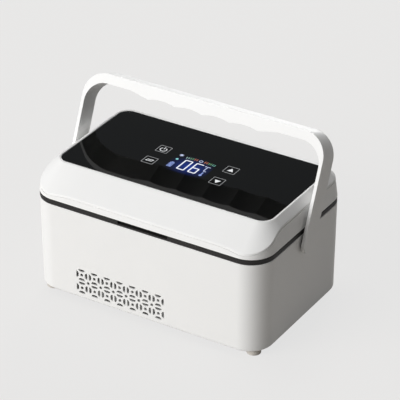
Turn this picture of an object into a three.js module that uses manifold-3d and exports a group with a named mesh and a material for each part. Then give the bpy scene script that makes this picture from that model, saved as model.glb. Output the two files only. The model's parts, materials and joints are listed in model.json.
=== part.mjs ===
// Insulin cooling case: an insulated box with a thermoelectric cooler, a hinged lid with
// a glass touch panel, and a carry handle that swings over the lid.
// Millimetres, +Z up, front towards -Y, floor at Z = 0.
import * as THREE from 'three';
import { mergeVertices } from 'three/addons/utils/BufferGeometryUtils.js';
import Module from 'manifold-3d';

const wasm = await Module();
wasm.setup();

// Clearances
const SEAT = 0.2; // between a piece and the seat that carries it
const SLIP = 0.3; // round a piece that drops into a pocket or turns in a bore
const OVERCUT = 1; // how far a cutter runs past the face it opens

// Roundness of arcs
const ROUND_SIDES = 16;
const FASTENER_SIDES = 10;
const CORNER_STEPS = 5;
const GROOVE_STEPS = 6;
const PETAL_STEPS = 4;
const DOT_SIDES = 6;
const BATTERY_STEPS = 4;

// Case body
const BODY_WIDTH = 220;
const BODY_DEPTH = 140;
const BODY_HEIGHT = 82; // underside to seam
const BODY_CORNER = 22;
const BODY_DRAFT = 1.1; // how far the walls draw in at the underside
const BODY_EDGE = 1.2; // chamfer round the underside
const WALL = 2.4;
const FLOOR = 2.6;

// Feet
const FOOT_HEIGHT = 5;
const FOOT_RADIUS = 6;
const FOOT_EDGE = 0.8;
const FOOT_STEM = 2.5;
const FOOT_INSET = 13; // from the widest wall to a foot's centre

// Seam band and finger notch
const BAND_HEIGHT = 4.5;
const BAND_INSET = 0.6;
const BAND_GAP = 0.5; // shadow line under the lid
const BAND_SKIRT = 0.9;
const NOTCH_WIDTH = 47;
const NOTCH_HEIGHT = 2.5;
const NOTCH_DEPTH = 7;
const NOTCH_CORNER = 5;

// Lid
const LID_HEIGHT = 22.3; // seam to glass
const LID_SKIN = 2.2; // thickness of the lid's sloping top
const CREASE_FRONT = 7; // height of the crease above the seam, at the front
const CREASE_SIDE = 17; // and along the sides and back
const CREASE_FRONT_INSET = 1.2;
const CREASE_SIDE_INSET = 2.2;
const CREASE_RISE_FROM = 9; // where the crease climbs, measured back from the front wall
const CREASE_RISE_TO = 33;
const LID_SIDE_STEPS = 8;
const LIP = 0.9; // bright rim round the glass
const LIP_PROUD = 0.2;

// Glass touch panel
const GLASS_SIDE_MARGIN = 10.3;
const GLASS_FRONT_MARGIN = 26.5;
const GLASS_BACK_MARGIN = 11.1;
const GLASS_CORNER = 10;
const GLASS_THICKNESS = 2;
const GLASS_LEDGE = 4;
const GLASS_LEDGE_THICKNESS = 1.8;
const CAVITY_OUTSET = 2.5; // how far the lid's hollow reaches past the glass

// Display and touch keys, seen from above with the case's centre as origin
const DISPLAY_SIZE = [38, 30];
const DISPLAY_CENTRE = [0.7, 2.5];
const TOUCH_PAD_RADIUS = 4;
const TOUCH_PADS = {
  power: [-32.8, 15],
  mode: [-32.8, -6.5],
  up: [32.8, 15],
  down: [32.8, -6.5],
};
const TOUCH_BOARD_SIZE = [92, 50];
const BOARD_THICKNESS = 1.6;
const TOUCH_BOARD_DEPTH = 8; // underside of the board below the glass

// Lid lining, gasket and fastenings
const LID_LINER_PLATE = 2.3;
const LID_PLUG_DEPTH = 6;
const LID_PLUG_CLEARANCE = 3;
const LID_PLUG_RIM = 3;
const LID_PLUG_PAN = 4;
const GASKET_WIDTH = 3;
const GASKET_HEIGHT = 1.3;
const GASKET_MARGIN = 2.5; // from the chamber's mouth to the gasket
const GASKET_GROOVE = 1;
const LID_SCREW_INSET = [12, 14]; // from the body's sides and from its front and back
const SCREW_RADIUS = 1.2;
const SCREW_HEAD_RADIUS = 2.6;
const SCREW_HEAD = 1.1;
const LID_SCREW_LENGTH = 8;
const FOAM_DROP = 1; // slack between the lid's foam and its sloping skin
const BOSS_RADIUS = 3.5;

// Magnets that hold the lid shut
const MAGNET_RADIUS = 4;
const MAGNET_THICKNESS = 1.7;
const MAGNET_SPACING = 120;
const MAGNET_MARGIN = 2; // from the gasket to a magnet

// Lid hinges
const HINGE_SPACING = 120;
const HINGE_BARREL = 2; // radius
const HINGE_PIN = 0.9; // radius
const HINGE_LID_LENGTH = 14;
const HINGE_BASE_LENGTH = 7;
const HINGE_OFFSET = 0.9; // axis behind the back wall
const HINGE_RELIEF = 0.4;
const HINGE_WEB = 2.6;

// Cold chamber
const INSULATION = 21; // from the body's outside to the chamber
const CHAMBER_CORNER = 12;
const CHAMBER_FILLET = 3;
const LINER_WALL = 1.2;
const LINER_FLANGE = 1.2;
const CHAMBER_HEIGHT = 35.7; // chamber floor to the liner's flange
const FOAM_FLOOR = 4;

// Cooler
const FAN_SIZE = 60;
const FAN_HEIGHT = 10;
const FAN_BORE = 28;
const FAN_HUB = 11.5;
const FAN_BLADES = 7;
const FAN_BLADE = 1.3;
const FAN_BLADE_CHORD = 8.5;
const FAN_BLADE_PITCH = 50; // degrees from the fan's axis
const FAN_TIP_GAP = 1.2;
const FAN_STRUT = 4;
const FAN_BASE = 2;
const FAN_SHAFT = 1.5;
const SINK_MARGIN = 5.5; // from the battery to the heat sink
const SINK_WIDTH = 84;
const SINK_DEPTH = 70;
const SINK_PLATE = 3.5;
const SINK_FINS = 13;
const SINK_FIN = 1.4;
const PELTIER_SIZE = 40;
const PELTIER_HEIGHT = 3.6;
const COLD_BLOCK_SIZE = 44;
const COLD_BLOCK_HEIGHT = 6.8;

// Front vent: coin-pattern cells, each with four petals round a dot
const VENT_PITCH = 12.4;
const VENT_COLUMNS = 7;
const VENT_ROWS = 2;
const VENT_HEIGHT = 16.3; // centre of the vent above the underside
const VENT_SHIFT = -0.9; // and beside the cooler's centre
const PETAL_LENGTH = 6.4;
const PETAL_REACH = 5.1; // cell centre to a petal's outer edge
const PETAL_BULGE = 2;
const PETAL_BOW = 0.3;
const PETAL_FULLNESS = 4; // how squarely a petal fills its corners
const VENT_DOT = 1.4;

// Rear vent slots
const SLOT_COUNT = 9;
const SLOT_PITCH = 8;
const SLOT_WIDTH = 3;
const SLOT_HEIGHT = 18;
const SLOT_BOTTOM = 6; // above the underside

// Bottom cover
const COVER_SIDE_MARGIN = 35; // from the body's sides
const COVER_DEPTH = 92;
const COVER_CORNER = 6;
const COVER_THICKNESS = 1.4;
const COVER_LEDGE = 5;
const COVER_SCREW_INSET = 3;
const COVER_SCREW_LENGTH = 7;
const COVER_SCREW_HEAD = 1.5;
const COVER_BOSS_HEIGHT = 8;
const COVER_BOSS_RADIUS = 3;
const INTAKE_SLOTS = 9;
const INTAKE_PITCH = 5.6;
const INTAKE_SLOT = 3;

// Power
const CELL_DIAMETER = 18.4;
const CELL_COUNT = 4;
const CELL_LENGTH = 67;
const BATTERY_MARGIN = 11.2; // from the body's right side to the pack
const POWER_BOARD_SIZE = [24, 42];
const POWER_BOARD_MARGIN = [10, 14]; // from the body's left side and from its back
const POWER_BOARD_LIFT = 3;
const POST_RADIUS = 2.5;
const POST_SPACING = 30;
const JACK_OFFSET = 6; // from the power board's middle towards the cooler
const JACK_SIZE = [10, 13, 11];
const JACK_NOSE = 4.5;
const JACK_BORE = 3.1;
const JACK_BORE_DEPTH = 9.5;
const JACK_PIN = 1;
const SENSOR_SIZE = [6, 10, 2.8];
const SENSOR_X = 60;

// Carry handle, in its own upright frame with the pivot as origin
const HANDLE_PIVOT_DROP = 8.7; // pivot below the seam
const HANDLE_LEAN = 23; // degrees back from upright
const HANDLE_GAP = 1.8; // body wall to arm
const HANDLE_ARM = 2.8;
const HANDLE_DEPTH = 18.8;
const HANDLE_TOP = 88.2;
const HANDLE_BAR = 8.2;
const HANDLE_OUTER_CORNER = 21;
const HANDLE_INNER_CORNER = 19;
const GRIP_GROOVES = 4;
const GRIP_PITCH = 26;
const GRIP_GROOVE_DEPTH = 1.9;
const GRIP_DROP = 3.6; // cusps below the bar's plain underside
const GRIP_RAMP = 18;
const STUD_RADIUS = 4;
const STUD_NECK = 3.1;
const STUD_REACH = 7.2; // arm to the stud's end
const BUSH_WALL = 1.2;
const BUSH_FLANGE = 7.5;
const BUSH_FLANGE_THICKNESS = 1.3;
const CLIP_RADIUS = 5.6;
const CLIP_THICKNESS = 0.8;
const CLIP_MOUTH = 5;
const PIVOT_POCKET = 7;
const PIVOT_POCKET_DEPTH = 4.5;

// Places worked out from the sizes above
const CHAMBER_WIDTH = BODY_WIDTH - 2 * INSULATION;
const CHAMBER_DEPTH = BODY_DEPTH - 2 * INSULATION;
const COVER_WIDTH = BODY_WIDTH - 2 * COVER_SIDE_MARGIN;
const MAGNET_INSET = INSULATION - GASKET_MARGIN - GASKET_WIDTH - MAGNET_MARGIN - MAGNET_RADIUS;
const BATTERY_WIDTH = CELL_COUNT * CELL_DIAMETER;
const BATTERY_X = BODY_WIDTH / 2 - BATTERY_MARGIN - BATTERY_WIDTH / 2;
const COOLER_X = BATTERY_X - BATTERY_WIDTH / 2 - SINK_MARGIN - SINK_WIDTH / 2;
const POWER_BOARD_CENTRE = [
  POWER_BOARD_MARGIN[0] + POWER_BOARD_SIZE[0] / 2 - BODY_WIDTH / 2,
  BODY_DEPTH / 2 - POWER_BOARD_MARGIN[1] - POWER_BOARD_SIZE[1] / 2,
];
const JACK_X = POWER_BOARD_CENTRE[0] + JACK_OFFSET;

// Levels worked out from the sizes above
const SEAM = FOOT_HEIGHT + BODY_HEIGHT;
const LID_BOTTOM = SEAM + BAND_HEIGHT;
const GLASS_TOP = LID_BOTTOM + LID_HEIGHT;
const GLASS_BOTTOM = GLASS_TOP - GLASS_THICKNESS;
const LIP_TOP = GLASS_TOP + LIP_PROUD;
const LEDGE_TOP = GLASS_BOTTOM - SEAT;
const LEDGE_BOTTOM = LEDGE_TOP - GLASS_LEDGE_THICKNESS;
const FLOOR_TOP = FOOT_HEIGHT + FLOOR;
const BAND_TOP = LID_BOTTOM - BAND_GAP;
const FLANGE_TOP = SEAM - BAND_SKIRT - SEAT;
const FLANGE_BOTTOM = FLANGE_TOP - LINER_FLANGE;
const CHAMBER_FLOOR = FLANGE_TOP - CHAMBER_HEIGHT;
const LINER_BOTTOM = CHAMBER_FLOOR - LINER_WALL;
const FOAM_TOP = FLANGE_BOTTOM - SEAT;
const FOAM_BOTTOM = LINER_BOTTOM - FOAM_FLOOR;
const COLD_BLOCK_TOP = LINER_BOTTOM - SEAT;
const COLD_BLOCK_BOTTOM = COLD_BLOCK_TOP - COLD_BLOCK_HEIGHT;
const PELTIER_TOP = COLD_BLOCK_BOTTOM - SEAT;
const SINK_TOP = PELTIER_TOP - PELTIER_HEIGHT - SEAT;
const COVER_TOP = FOOT_HEIGHT + COVER_THICKNESS;
const FAN_BOTTOM = COVER_TOP + SEAT;
const FAN_TOP = FAN_BOTTOM + FAN_HEIGHT;
const SINK_BOTTOM = FAN_TOP + SEAT;
const LID_LINER_BOTTOM = LID_BOTTOM + SEAT;
const LID_LINER_TOP = LID_LINER_BOTTOM + LID_LINER_PLATE;
const TOUCH_BOARD_BOTTOM = GLASS_BOTTOM - TOUCH_BOARD_DEPTH;
const TOUCH_BOARD_TOP = TOUCH_BOARD_BOTTOM + BOARD_THICKNESS;
const HINGE_Y = BODY_DEPTH / 2 + HINGE_OFFSET;
const HINGE_Z = SEAM + BAND_HEIGHT / 2;
const PIVOT_Z = SEAM - HANDLE_PIVOT_DROP;
const ARM_INNER = BODY_WIDTH / 2 + HANDLE_GAP;
const VENT_X = COOLER_X + VENT_SHIFT;

// Finishes
const WHITE_ABS = { color: 0xf1f0ee, roughness: 0.35, metalness: 0 };
const LINER_WHITE = { color: 0xe6e8ea, roughness: 0.45, metalness: 0 };
const CHARCOAL = { color: 0x3a3937, roughness: 0.6, metalness: 0 };
const BLACK_GLASS = { color: 0x0e1011, roughness: 0.06, metalness: 0 };
const BLACK_PLASTIC = { color: 0x1b1b1c, roughness: 0.55, metalness: 0 };
const RUBBER = { color: 0x8d8a86, roughness: 0.8, metalness: 0 };
const FOAM = { color: 0xf4f1e6, roughness: 0.95, metalness: 0 };
const STEEL = { color: 0xb9bcc0, roughness: 0.3, metalness: 1 };
const ALUMINIUM = { color: 0xc4c7ca, roughness: 0.4, metalness: 1 };
const CERAMIC = { color: 0xe9e7e1, roughness: 0.6, metalness: 0 };
const BOARD_GREEN = { color: 0x1f5a3c, roughness: 0.5, metalness: 0 };
const BATTERY_BLUE = { color: 0x2c5aa0, roughness: 0.4, metalness: 0 };

// A closed geometry as a solid that can be joined and cut
function toSolid(geometry) {
  const bare = geometry.clone();
  bare.deleteAttribute('normal');
  bare.deleteAttribute('uv');
  const merged = mergeVertices(bare);
  const vertProperties = merged.attributes.position.array;
  const triVerts = Uint32Array.from(merged.index.array);
  return new wasm.Manifold(new wasm.Mesh({ numProp: 3, vertProperties, triVerts }));
}

function toGeometry(solid) {
  const mesh = solid.getMesh();
  const geometry = new THREE.BufferGeometry();
  geometry.setAttribute('position', new THREE.BufferAttribute(mesh.vertProperties, 3));
  geometry.setIndex(new THREE.BufferAttribute(mesh.triVerts, 1));
  geometry.computeVertexNormals();
  return geometry;
}

function piece(name, solid, finish) {
  const mesh = new THREE.Mesh(toGeometry(solid), new THREE.MeshStandardMaterial(finish));
  mesh.name = name;
  return mesh;
}

const joined = (solids) => solids.reduce((whole, next) => whole.add(next));
const cut = (solid, cutters) => solid.subtract(joined(cutters));

// Both signs of a mirrored pair, with the names of the sides they make
const SIDES = [[-1, 'left'], [1, 'right']];
const ENDS = [[-1, 'front'], [1, 'rear']];
const QUARTERS = ENDS.flatMap(([alongY, end]) =>
  SIDES.map(([alongX, side]) => ({ alongX, alongY, name: `${end}_${side}` })));

// A box between two corners
function block([x0, y0, z0], [x1, y1, z1]) {
  const geometry = new THREE.BoxGeometry(x1 - x0, y1 - y0, z1 - z0);
  geometry.translate((x0 + x1) / 2, (y0 + y1) / 2, (z0 + z1) / 2);
  return toSolid(geometry);
}

// Round bars along each axis
function postZ(radius, z0, z1, x, y, sides = ROUND_SIDES) {
  const geometry = new THREE.CylinderGeometry(radius, radius, z1 - z0, sides);
  geometry.rotateX(Math.PI / 2).translate(x, y, (z0 + z1) / 2);
  return toSolid(geometry);
}

function rodX(radius, x0, x1, y, z) {
  const geometry = new THREE.CylinderGeometry(radius, radius, Math.abs(x1 - x0), ROUND_SIDES);
  geometry.rotateZ(Math.PI / 2).translate((x0 + x1) / 2, y, z);
  return toSolid(geometry);
}

function rodY(radius, y0, y1, x, z, sides = ROUND_SIDES) {
  const geometry = new THREE.CylinderGeometry(radius, radius, y1 - y0, sides);
  geometry.translate(x, (y0 + y1) / 2, z);
  return toSolid(geometry);
}

// A profile of [radius, height] points turned about the Z axis
function turned(profile, sides = ROUND_SIDES) {
  const points = profile.map(([radius, height]) => new THREE.Vector2(radius, height));
  return toSolid(new THREE.LatheGeometry(points, sides).rotateX(Math.PI / 2));
}

// An outline drawn on the X-Z plane and pushed along Y
function upright(shape, y0, y1) {
  const geometry = new THREE.ExtrudeGeometry(shape, { depth: y1 - y0, bevelEnabled: false });
  return toSolid(geometry.rotateX(Math.PI / 2).translate(0, y1, 0));
}

// A rounded rectangle as a ring of points, anticlockwise from the front right corner.
// The two sides can be divided into steps, so that a loft can bend along them.
function roundedRing({ halfX, halfY, corner, centreY = 0, sideSteps = 1 }) {
  const ring = [];
  const turn = Math.PI / 2;
  [[1, -1], [1, 1], [-1, 1], [-1, -1]].forEach(([alongX, alongY], index) => {
    const x = alongX * (halfX - corner);
    const y = centreY + alongY * (halfY - corner);
    for (let step = 0; step <= CORNER_STEPS; step += 1) {
      const angle = turn * (index - 1 + step / CORNER_STEPS);
      ring.push(new THREE.Vector2(x + corner * Math.cos(angle), y + corner * Math.sin(angle)));
    }
    const divided = alongX === alongY * -1 ? sideSteps : 1;
    const from = ring[ring.length - 1];
    for (let step = 1; step < divided; step += 1) {
      ring.push(new THREE.Vector2(from.x, y - 2 * alongY * (halfY - corner) * (step / divided)));
    }
  });
  return ring;
}

// A closed skin through rings of [x, y, z] points, with flat first and last rings
function loft(rings) {
  const count = rings[0].length;
  const positions = rings.flat().flatMap((point) => [point.x, point.y, point.z]);
  const index = [];
  for (let level = 0; level < rings.length - 1; level += 1) {
    for (let step = 0; step < count; step += 1) {
      const a = level * count + step;
      const b = level * count + ((step + 1) % count);
      index.push(a, b, b + count, a, b + count, a + count);
    }
  }
  const last = (rings.length - 1) * count;
  const flat = (ring) => ring.map((point) => new THREE.Vector2(point.x, point.y));
  const capOf = (ring) => THREE.ShapeUtils.triangulateShape(flat(ring), []);
  capOf(rings[0]).forEach(([a, b, c]) => index.push(a, c, b));
  capOf(rings[rings.length - 1]).forEach(([a, b, c]) => index.push(last + a, last + b, last + c));
  const geometry = new THREE.BufferGeometry();
  geometry.setAttribute('position', new THREE.Float32BufferAttribute(positions, 3));
  geometry.setIndex(index);
  return toSolid(geometry);
}

const raised = (ring, z) => ring.map((point) => new THREE.Vector3(point.x, point.y, z));
const prism = (ring, z0, z1) => loft([raised(ring, z0), raised(ring, z1)]);

// Outlines shared by neighbouring pieces
const bodyRing = (inset, sideSteps) => roundedRing({
  halfX: BODY_WIDTH / 2 - inset,
  halfY: BODY_DEPTH / 2 - inset,
  corner: BODY_CORNER - inset,
  sideSteps,
});
const chamberRing = (outset) => roundedRing({
  halfX: CHAMBER_WIDTH / 2 + outset,
  halfY: CHAMBER_DEPTH / 2 + outset,
  corner: CHAMBER_CORNER + outset,
});
const coverRing = (outset) => roundedRing({
  halfX: COVER_WIDTH / 2 + outset,
  halfY: COVER_DEPTH / 2 + outset,
  corner: COVER_CORNER,
});
const glassRing = (outset, sideSteps) => roundedRing({
  halfX: BODY_WIDTH / 2 - GLASS_SIDE_MARGIN + outset,
  halfY: (BODY_DEPTH - GLASS_FRONT_MARGIN - GLASS_BACK_MARGIN) / 2 + outset,
  corner: GLASS_CORNER + outset,
  centreY: (GLASS_FRONT_MARGIN - GLASS_BACK_MARGIN) / 2,
  sideSteps,
});

// How far the drafted wall has drawn in at a height
const draftAt = (z) => (BODY_DRAFT * (SEAM - z)) / BODY_HEIGHT;

// The space inside the body's walls, less a clearance
function bodySpace(clearance, z0, z1) {
  const at = (z) => raised(bodyRing(draftAt(z) + WALL + clearance), z);
  return loft([at(z0), at(z1)]);
}

// Where the fastenings and pivots stand
const footPlaces = QUARTERS.map((quarter) => ({
  ...quarter,
  x: quarter.alongX * (BODY_WIDTH / 2 - FOOT_INSET),
  y: quarter.alongY * (BODY_DEPTH / 2 - FOOT_INSET),
}));
const coverScrewPlaces = QUARTERS.map((quarter) => ({
  ...quarter,
  x: quarter.alongX * (COVER_WIDTH / 2 - COVER_SCREW_INSET),
  y: quarter.alongY * (COVER_DEPTH / 2 - COVER_SCREW_INSET),
}));
const lidScrewPlaces = QUARTERS.map((quarter) => ({
  ...quarter,
  x: quarter.alongX * (BODY_WIDTH / 2 - LID_SCREW_INSET[0]),
  y: quarter.alongY * (BODY_DEPTH / 2 - LID_SCREW_INSET[1]),
}));
const postPlaces = ENDS.map(([alongY]) => ({
  x: POWER_BOARD_CENTRE[0],
  y: POWER_BOARD_CENTRE[1] + (alongY * POST_SPACING) / 2,
}));
const magnetPlaces = SIDES.map(([alongX, side]) => ({
  side,
  x: (alongX * MAGNET_SPACING) / 2,
  y: MAGNET_INSET - BODY_DEPTH / 2,
}));
const hingePlaces = SIDES.map(([alongX, side]) => ({ side, x: (alongX * HINGE_SPACING) / 2 }));
const boardTop = FLOOR_TOP + POWER_BOARD_LIFT + BOARD_THICKNESS;
const jackZ = boardTop + SEAT + JACK_SIZE[2] / 2;

// Front vent: one petal drawn above a cell's centre, then turned round the cell
function ventPetal() {
  const half = PETAL_LENGTH / 2;
  const shape = new THREE.Shape();
  const bowed = (reach, sagitta, step) => {
    const along = -half + (PETAL_LENGTH * step) / PETAL_STEPS;
    return [along, reach + sagitta * (1 - (along / half) ** PETAL_FULLNESS)];
  };
  shape.moveTo(...bowed(PETAL_REACH, PETAL_BOW, PETAL_STEPS));
  for (let step = PETAL_STEPS - 1; step >= 0; step -= 1) {
    shape.lineTo(...bowed(PETAL_REACH, PETAL_BOW, step));
  }
  for (let step = 1; step < PETAL_STEPS; step += 1) {
    shape.lineTo(...bowed(PETAL_REACH, -PETAL_BULGE, step));
  }
  shape.closePath();
  const front = -BODY_DEPTH / 2 - OVERCUT;
  return upright(shape, front, front + WALL + BODY_DRAFT + 2 * OVERCUT);
}

function ventCutters() {
  const front = -BODY_DEPTH / 2 - OVERCUT;
  const back = front + WALL + BODY_DRAFT + 2 * OVERCUT;
  const petal = ventPetal();
  const cutters = [];
  const cellX = (column) => VENT_X + (column - (VENT_COLUMNS - 1) / 2) * VENT_PITCH;
  const cellZ = (row) => FOOT_HEIGHT + VENT_HEIGHT + (row - (VENT_ROWS - 1) / 2) * VENT_PITCH;
  for (let row = 0; row < VENT_ROWS; row += 1) {
    for (let column = 0; column < VENT_COLUMNS; column += 1) {
      for (let turn = 0; turn < 360; turn += 90) {
        cutters.push(petal.rotate(0, turn, 0).translate(cellX(column), 0, cellZ(row)));
      }
      cutters.push(rodY(VENT_DOT, front, back, cellX(column), cellZ(row), DOT_SIDES));
      const between = row + 1 < VENT_ROWS && column + 1 < VENT_COLUMNS;
      if (between) {
        const dotX = cellX(column) + VENT_PITCH / 2;
        cutters.push(rodY(VENT_DOT, front, back, dotX, cellZ(row) + VENT_PITCH / 2, DOT_SIDES));
      }
    }
  }
  return cutters;
}

function rearSlotCutters() {
  const back = BODY_DEPTH / 2 + OVERCUT;
  const depth = WALL + BODY_DRAFT + 2 * OVERCUT;
  const bottom = FOOT_HEIGHT + SLOT_BOTTOM;
  return Array.from({ length: SLOT_COUNT }, (_, slot) => {
    const x = COOLER_X + (slot - (SLOT_COUNT - 1) / 2) * SLOT_PITCH;
    return block(
      [x - SLOT_WIDTH / 2, back - depth, bottom],
      [x + SLOT_WIDTH / 2, back, bottom + SLOT_HEIGHT],
    );
  });
}

// Body of the case
function baseShell() {
  const outer = loft([
    raised(bodyRing(BODY_DRAFT + BODY_EDGE), FOOT_HEIGHT),
    raised(bodyRing(BODY_DRAFT), FOOT_HEIGHT + BODY_EDGE),
    raised(bodyRing(0), SEAM),
  ]);
  const rebateTop = COVER_TOP + SEAT;
  const bossTop = rebateTop + COVER_BOSS_HEIGHT;
  const bosses = coverScrewPlaces.map(({ x, y }) => postZ(COVER_BOSS_RADIUS, rebateTop, bossTop, x, y));
  const postBottom = FOOT_HEIGHT + BODY_EDGE;
  const postTop = FLOOR_TOP + POWER_BOARD_LIFT - SEAT;
  const posts = postPlaces.map(({ x, y }) => postZ(POST_RADIUS, postBottom, postTop, x, y));
  const bushHole = STUD_RADIUS + SEAT + BUSH_WALL + SEAT;
  const hollow = cut(outer, [
    bodySpace(0, FLOOR_TOP, SEAM + OVERCUT),
    prism(coverRing(-COVER_LEDGE), FOOT_HEIGHT - OVERCUT, FLOOR_TOP + OVERCUT),
    prism(coverRing(SLIP), FOOT_HEIGHT - OVERCUT, rebateTop),
  ]);
  const below = FOOT_HEIGHT - OVERCUT;
  const beside = BODY_WIDTH / 2 + OVERCUT;
  const behind = BODY_DEPTH / 2 + OVERCUT;
  const backWall = WALL + BODY_DRAFT + 2 * OVERCUT;
  return cut(joined([hollow, ...bosses, ...posts]), [
    ...ventCutters(),
    ...rearSlotCutters(),
    ...coverScrewPlaces.map(({ x, y }) => postZ(SCREW_RADIUS + SEAT, below, bossTop - SEAT, x, y)),
    ...footPlaces.map(({ x, y }) => postZ(FOOT_STEM + SLIP, below, FLOOR_TOP + OVERCUT, x, y)),
    rodX(bushHole, -beside, beside, 0, PIVOT_Z),
    rodY(JACK_NOSE + SLIP, behind - backWall, behind, JACK_X, jackZ),
  ]);
}

function foot({ x, y }) {
  const top = FOOT_HEIGHT - SEAT;
  return turned([
    [0, 0],
    [FOOT_RADIUS - FOOT_EDGE, 0],
    [FOOT_RADIUS, FOOT_EDGE],
    [FOOT_RADIUS, top],
    [FOOT_STEM, top],
    [FOOT_STEM, FLOOR_TOP],
    [0, FLOOR_TOP],
  ]).translate(x, y, 0);
}

function bottomCover() {
  const reach = FAN_BORE - INTAKE_SLOT / 2;
  const slots = Array.from({ length: INTAKE_SLOTS }, (_, slot) => {
    const offset = (slot - (INTAKE_SLOTS - 1) / 2) * INTAKE_PITCH;
    const half = Math.sqrt(reach ** 2 - offset ** 2);
    const x = COOLER_X + offset;
    return block(
      [x - INTAKE_SLOT / 2, -half, FOOT_HEIGHT - OVERCUT],
      [x + INTAKE_SLOT / 2, half, COVER_TOP + OVERCUT],
    );
  });
  const holes = coverScrewPlaces.map(({ x, y }) =>
    postZ(SCREW_RADIUS + SLIP, FOOT_HEIGHT - OVERCUT, COVER_TOP + OVERCUT, x, y));
  return cut(prism(coverRing(0), FOOT_HEIGHT, COVER_TOP), [...slots, ...holes]);
}

// A screw with its head at the bottom and its shank upwards
function screw(headHeight, length) {
  return turned([
    [0, 0],
    [SCREW_HEAD_RADIUS, 0],
    [SCREW_HEAD_RADIUS, headHeight],
    [SCREW_RADIUS, headHeight],
    [SCREW_RADIUS, headHeight + length],
    [0, headHeight + length],
  ], FASTENER_SIDES);
}

// Cooler: fan, finned heat sink, thermoelectric module and cold block
function fanFrame() {
  const half = FAN_SIZE / 2;
  const body = cut(block([-half, -half, FAN_BOTTOM], [half, half, FAN_TOP]), [
    postZ(FAN_BORE, FAN_BOTTOM - OVERCUT, FAN_TOP + OVERCUT, 0, 0, 2 * ROUND_SIDES),
  ]);
  const strutTop = FAN_BOTTOM + FAN_BASE;
  const strutReach = FAN_BORE + OVERCUT;
  const struts = [
    block([-strutReach, -FAN_STRUT / 2, FAN_BOTTOM], [strutReach, FAN_STRUT / 2, strutTop]),
    block([-FAN_STRUT / 2, -strutReach, FAN_BOTTOM], [FAN_STRUT / 2, strutReach, strutTop]),
    postZ(FAN_HUB, FAN_BOTTOM, strutTop, 0, 0),
  ];
  const bearing = postZ(FAN_SHAFT + SEAT, FAN_BOTTOM + FAN_BASE / 2, FAN_TOP, 0, 0);
  return joined([body, ...struts]).subtract(bearing).translate(COOLER_X, 0, 0);
}

function fanRotor() {
  const bottom = FAN_BOTTOM + FAN_BASE + SEAT;
  const top = FAN_TOP - SEAT;
  const middle = (bottom + top) / 2;
  const tip = FAN_BORE - FAN_TIP_GAP;
  const root = FAN_HUB - FAN_BLADE;
  const blades = Array.from({ length: FAN_BLADES }, (_, blade) =>
    toSolid(new THREE.BoxGeometry(tip - root, FAN_BLADE, FAN_BLADE_CHORD))
      .rotate(FAN_BLADE_PITCH, 0, 0)
      .translate((tip + root) / 2, 0, middle)
      .rotate(0, 0, (360 * blade) / FAN_BLADES));
  const hub = postZ(FAN_HUB, bottom, top, 0, 0);
  const shaft = postZ(FAN_SHAFT, FAN_BOTTOM + FAN_BASE / 2 + SEAT, bottom + SEAT, 0, 0);
  return joined([hub, shaft, ...blades]).translate(COOLER_X, 0, 0);
}

function heatSink() {
  const plateBottom = SINK_TOP - SINK_PLATE;
  const half = SINK_WIDTH / 2;
  const pitch = (SINK_WIDTH - SINK_FIN) / (SINK_FINS - 1);
  const fins = Array.from({ length: SINK_FINS }, (_, fin) => {
    const x = -half + fin * pitch;
    return block([x, -SINK_DEPTH / 2, SINK_BOTTOM], [x + SINK_FIN, SINK_DEPTH / 2, plateBottom + SEAT]);
  });
  const base = block([-half, -SINK_DEPTH / 2, plateBottom], [half, SINK_DEPTH / 2, SINK_TOP]);
  return joined([base, ...fins]).translate(COOLER_X, 0, 0);
}

function coolerBlock(size, z0, z1) {
  return block([COOLER_X - size / 2, -size / 2, z0], [COOLER_X + size / 2, size / 2, z1]);
}

// Battery: cells side by side in one shrink sleeve that follows their round sides
function batteryPack() {
  const radius = CELL_DIAMETER / 2;
  const centreX = (cell) => (cell - (CELL_COUNT - 1) / 2) * CELL_DIAMETER;
  const valley = Math.PI / 3;
  const shape = new THREE.Shape();
  const arc = (cell, from, to) => {
    for (let step = 0; step <= BATTERY_STEPS; step += 1) {
      const angle = from + ((to - from) * step) / BATTERY_STEPS;
      const point = [centreX(cell) + radius * Math.cos(angle), radius * Math.sin(angle)];
      if (shape.curves.length || cell || step) shape.lineTo(...point);
      else shape.moveTo(...point);
    }
  };
  const right = CELL_COUNT - 1;
  for (let cell = 0; cell <= right; cell += 1) {
    const from = cell ? -Math.PI / 2 - valley / 2 : -Math.PI;
    arc(cell, from, cell < right ? -Math.PI / 2 + valley / 2 : 0);
  }
  for (let cell = right; cell >= 0; cell -= 1) {
    const from = cell < right ? Math.PI / 2 - valley / 2 : 0;
    arc(cell, from, cell ? Math.PI / 2 + valley / 2 : Math.PI);
  }
  shape.closePath();
  const z = FLOOR_TOP + SEAT + radius;
  return upright(shape, -CELL_LENGTH / 2, CELL_LENGTH / 2).translate(BATTERY_X, 0, z);
}

function boardAt([width, depth], [x, y], z) {
  return block([x - width / 2, y - depth / 2, z], [x + width / 2, y + depth / 2, z + BOARD_THICKNESS]);
}

function dcJack() {
  const [width, depth, height] = JACK_SIZE;
  const wallInside = BODY_DEPTH / 2 - draftAt(jackZ) - WALL;
  const wallOutside = BODY_DEPTH / 2 - draftAt(jackZ);
  const face = wallInside - OVERCUT;
  const body = block(
    [JACK_X - width / 2, face - depth, jackZ - height / 2],
    [JACK_X + width / 2, face, jackZ + height / 2],
  );
  const mouth = wallOutside - SLIP;
  const bottom = mouth - JACK_BORE_DEPTH;
  const bored = joined([body, rodY(JACK_NOSE, face - OVERCUT, mouth, JACK_X, jackZ)])
    .subtract(rodY(JACK_BORE, bottom, mouth + OVERCUT, JACK_X, jackZ));
  return bored.add(rodY(JACK_PIN, bottom - OVERCUT, mouth - OVERCUT, JACK_X, jackZ, DOT_SIDES));
}

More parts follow.
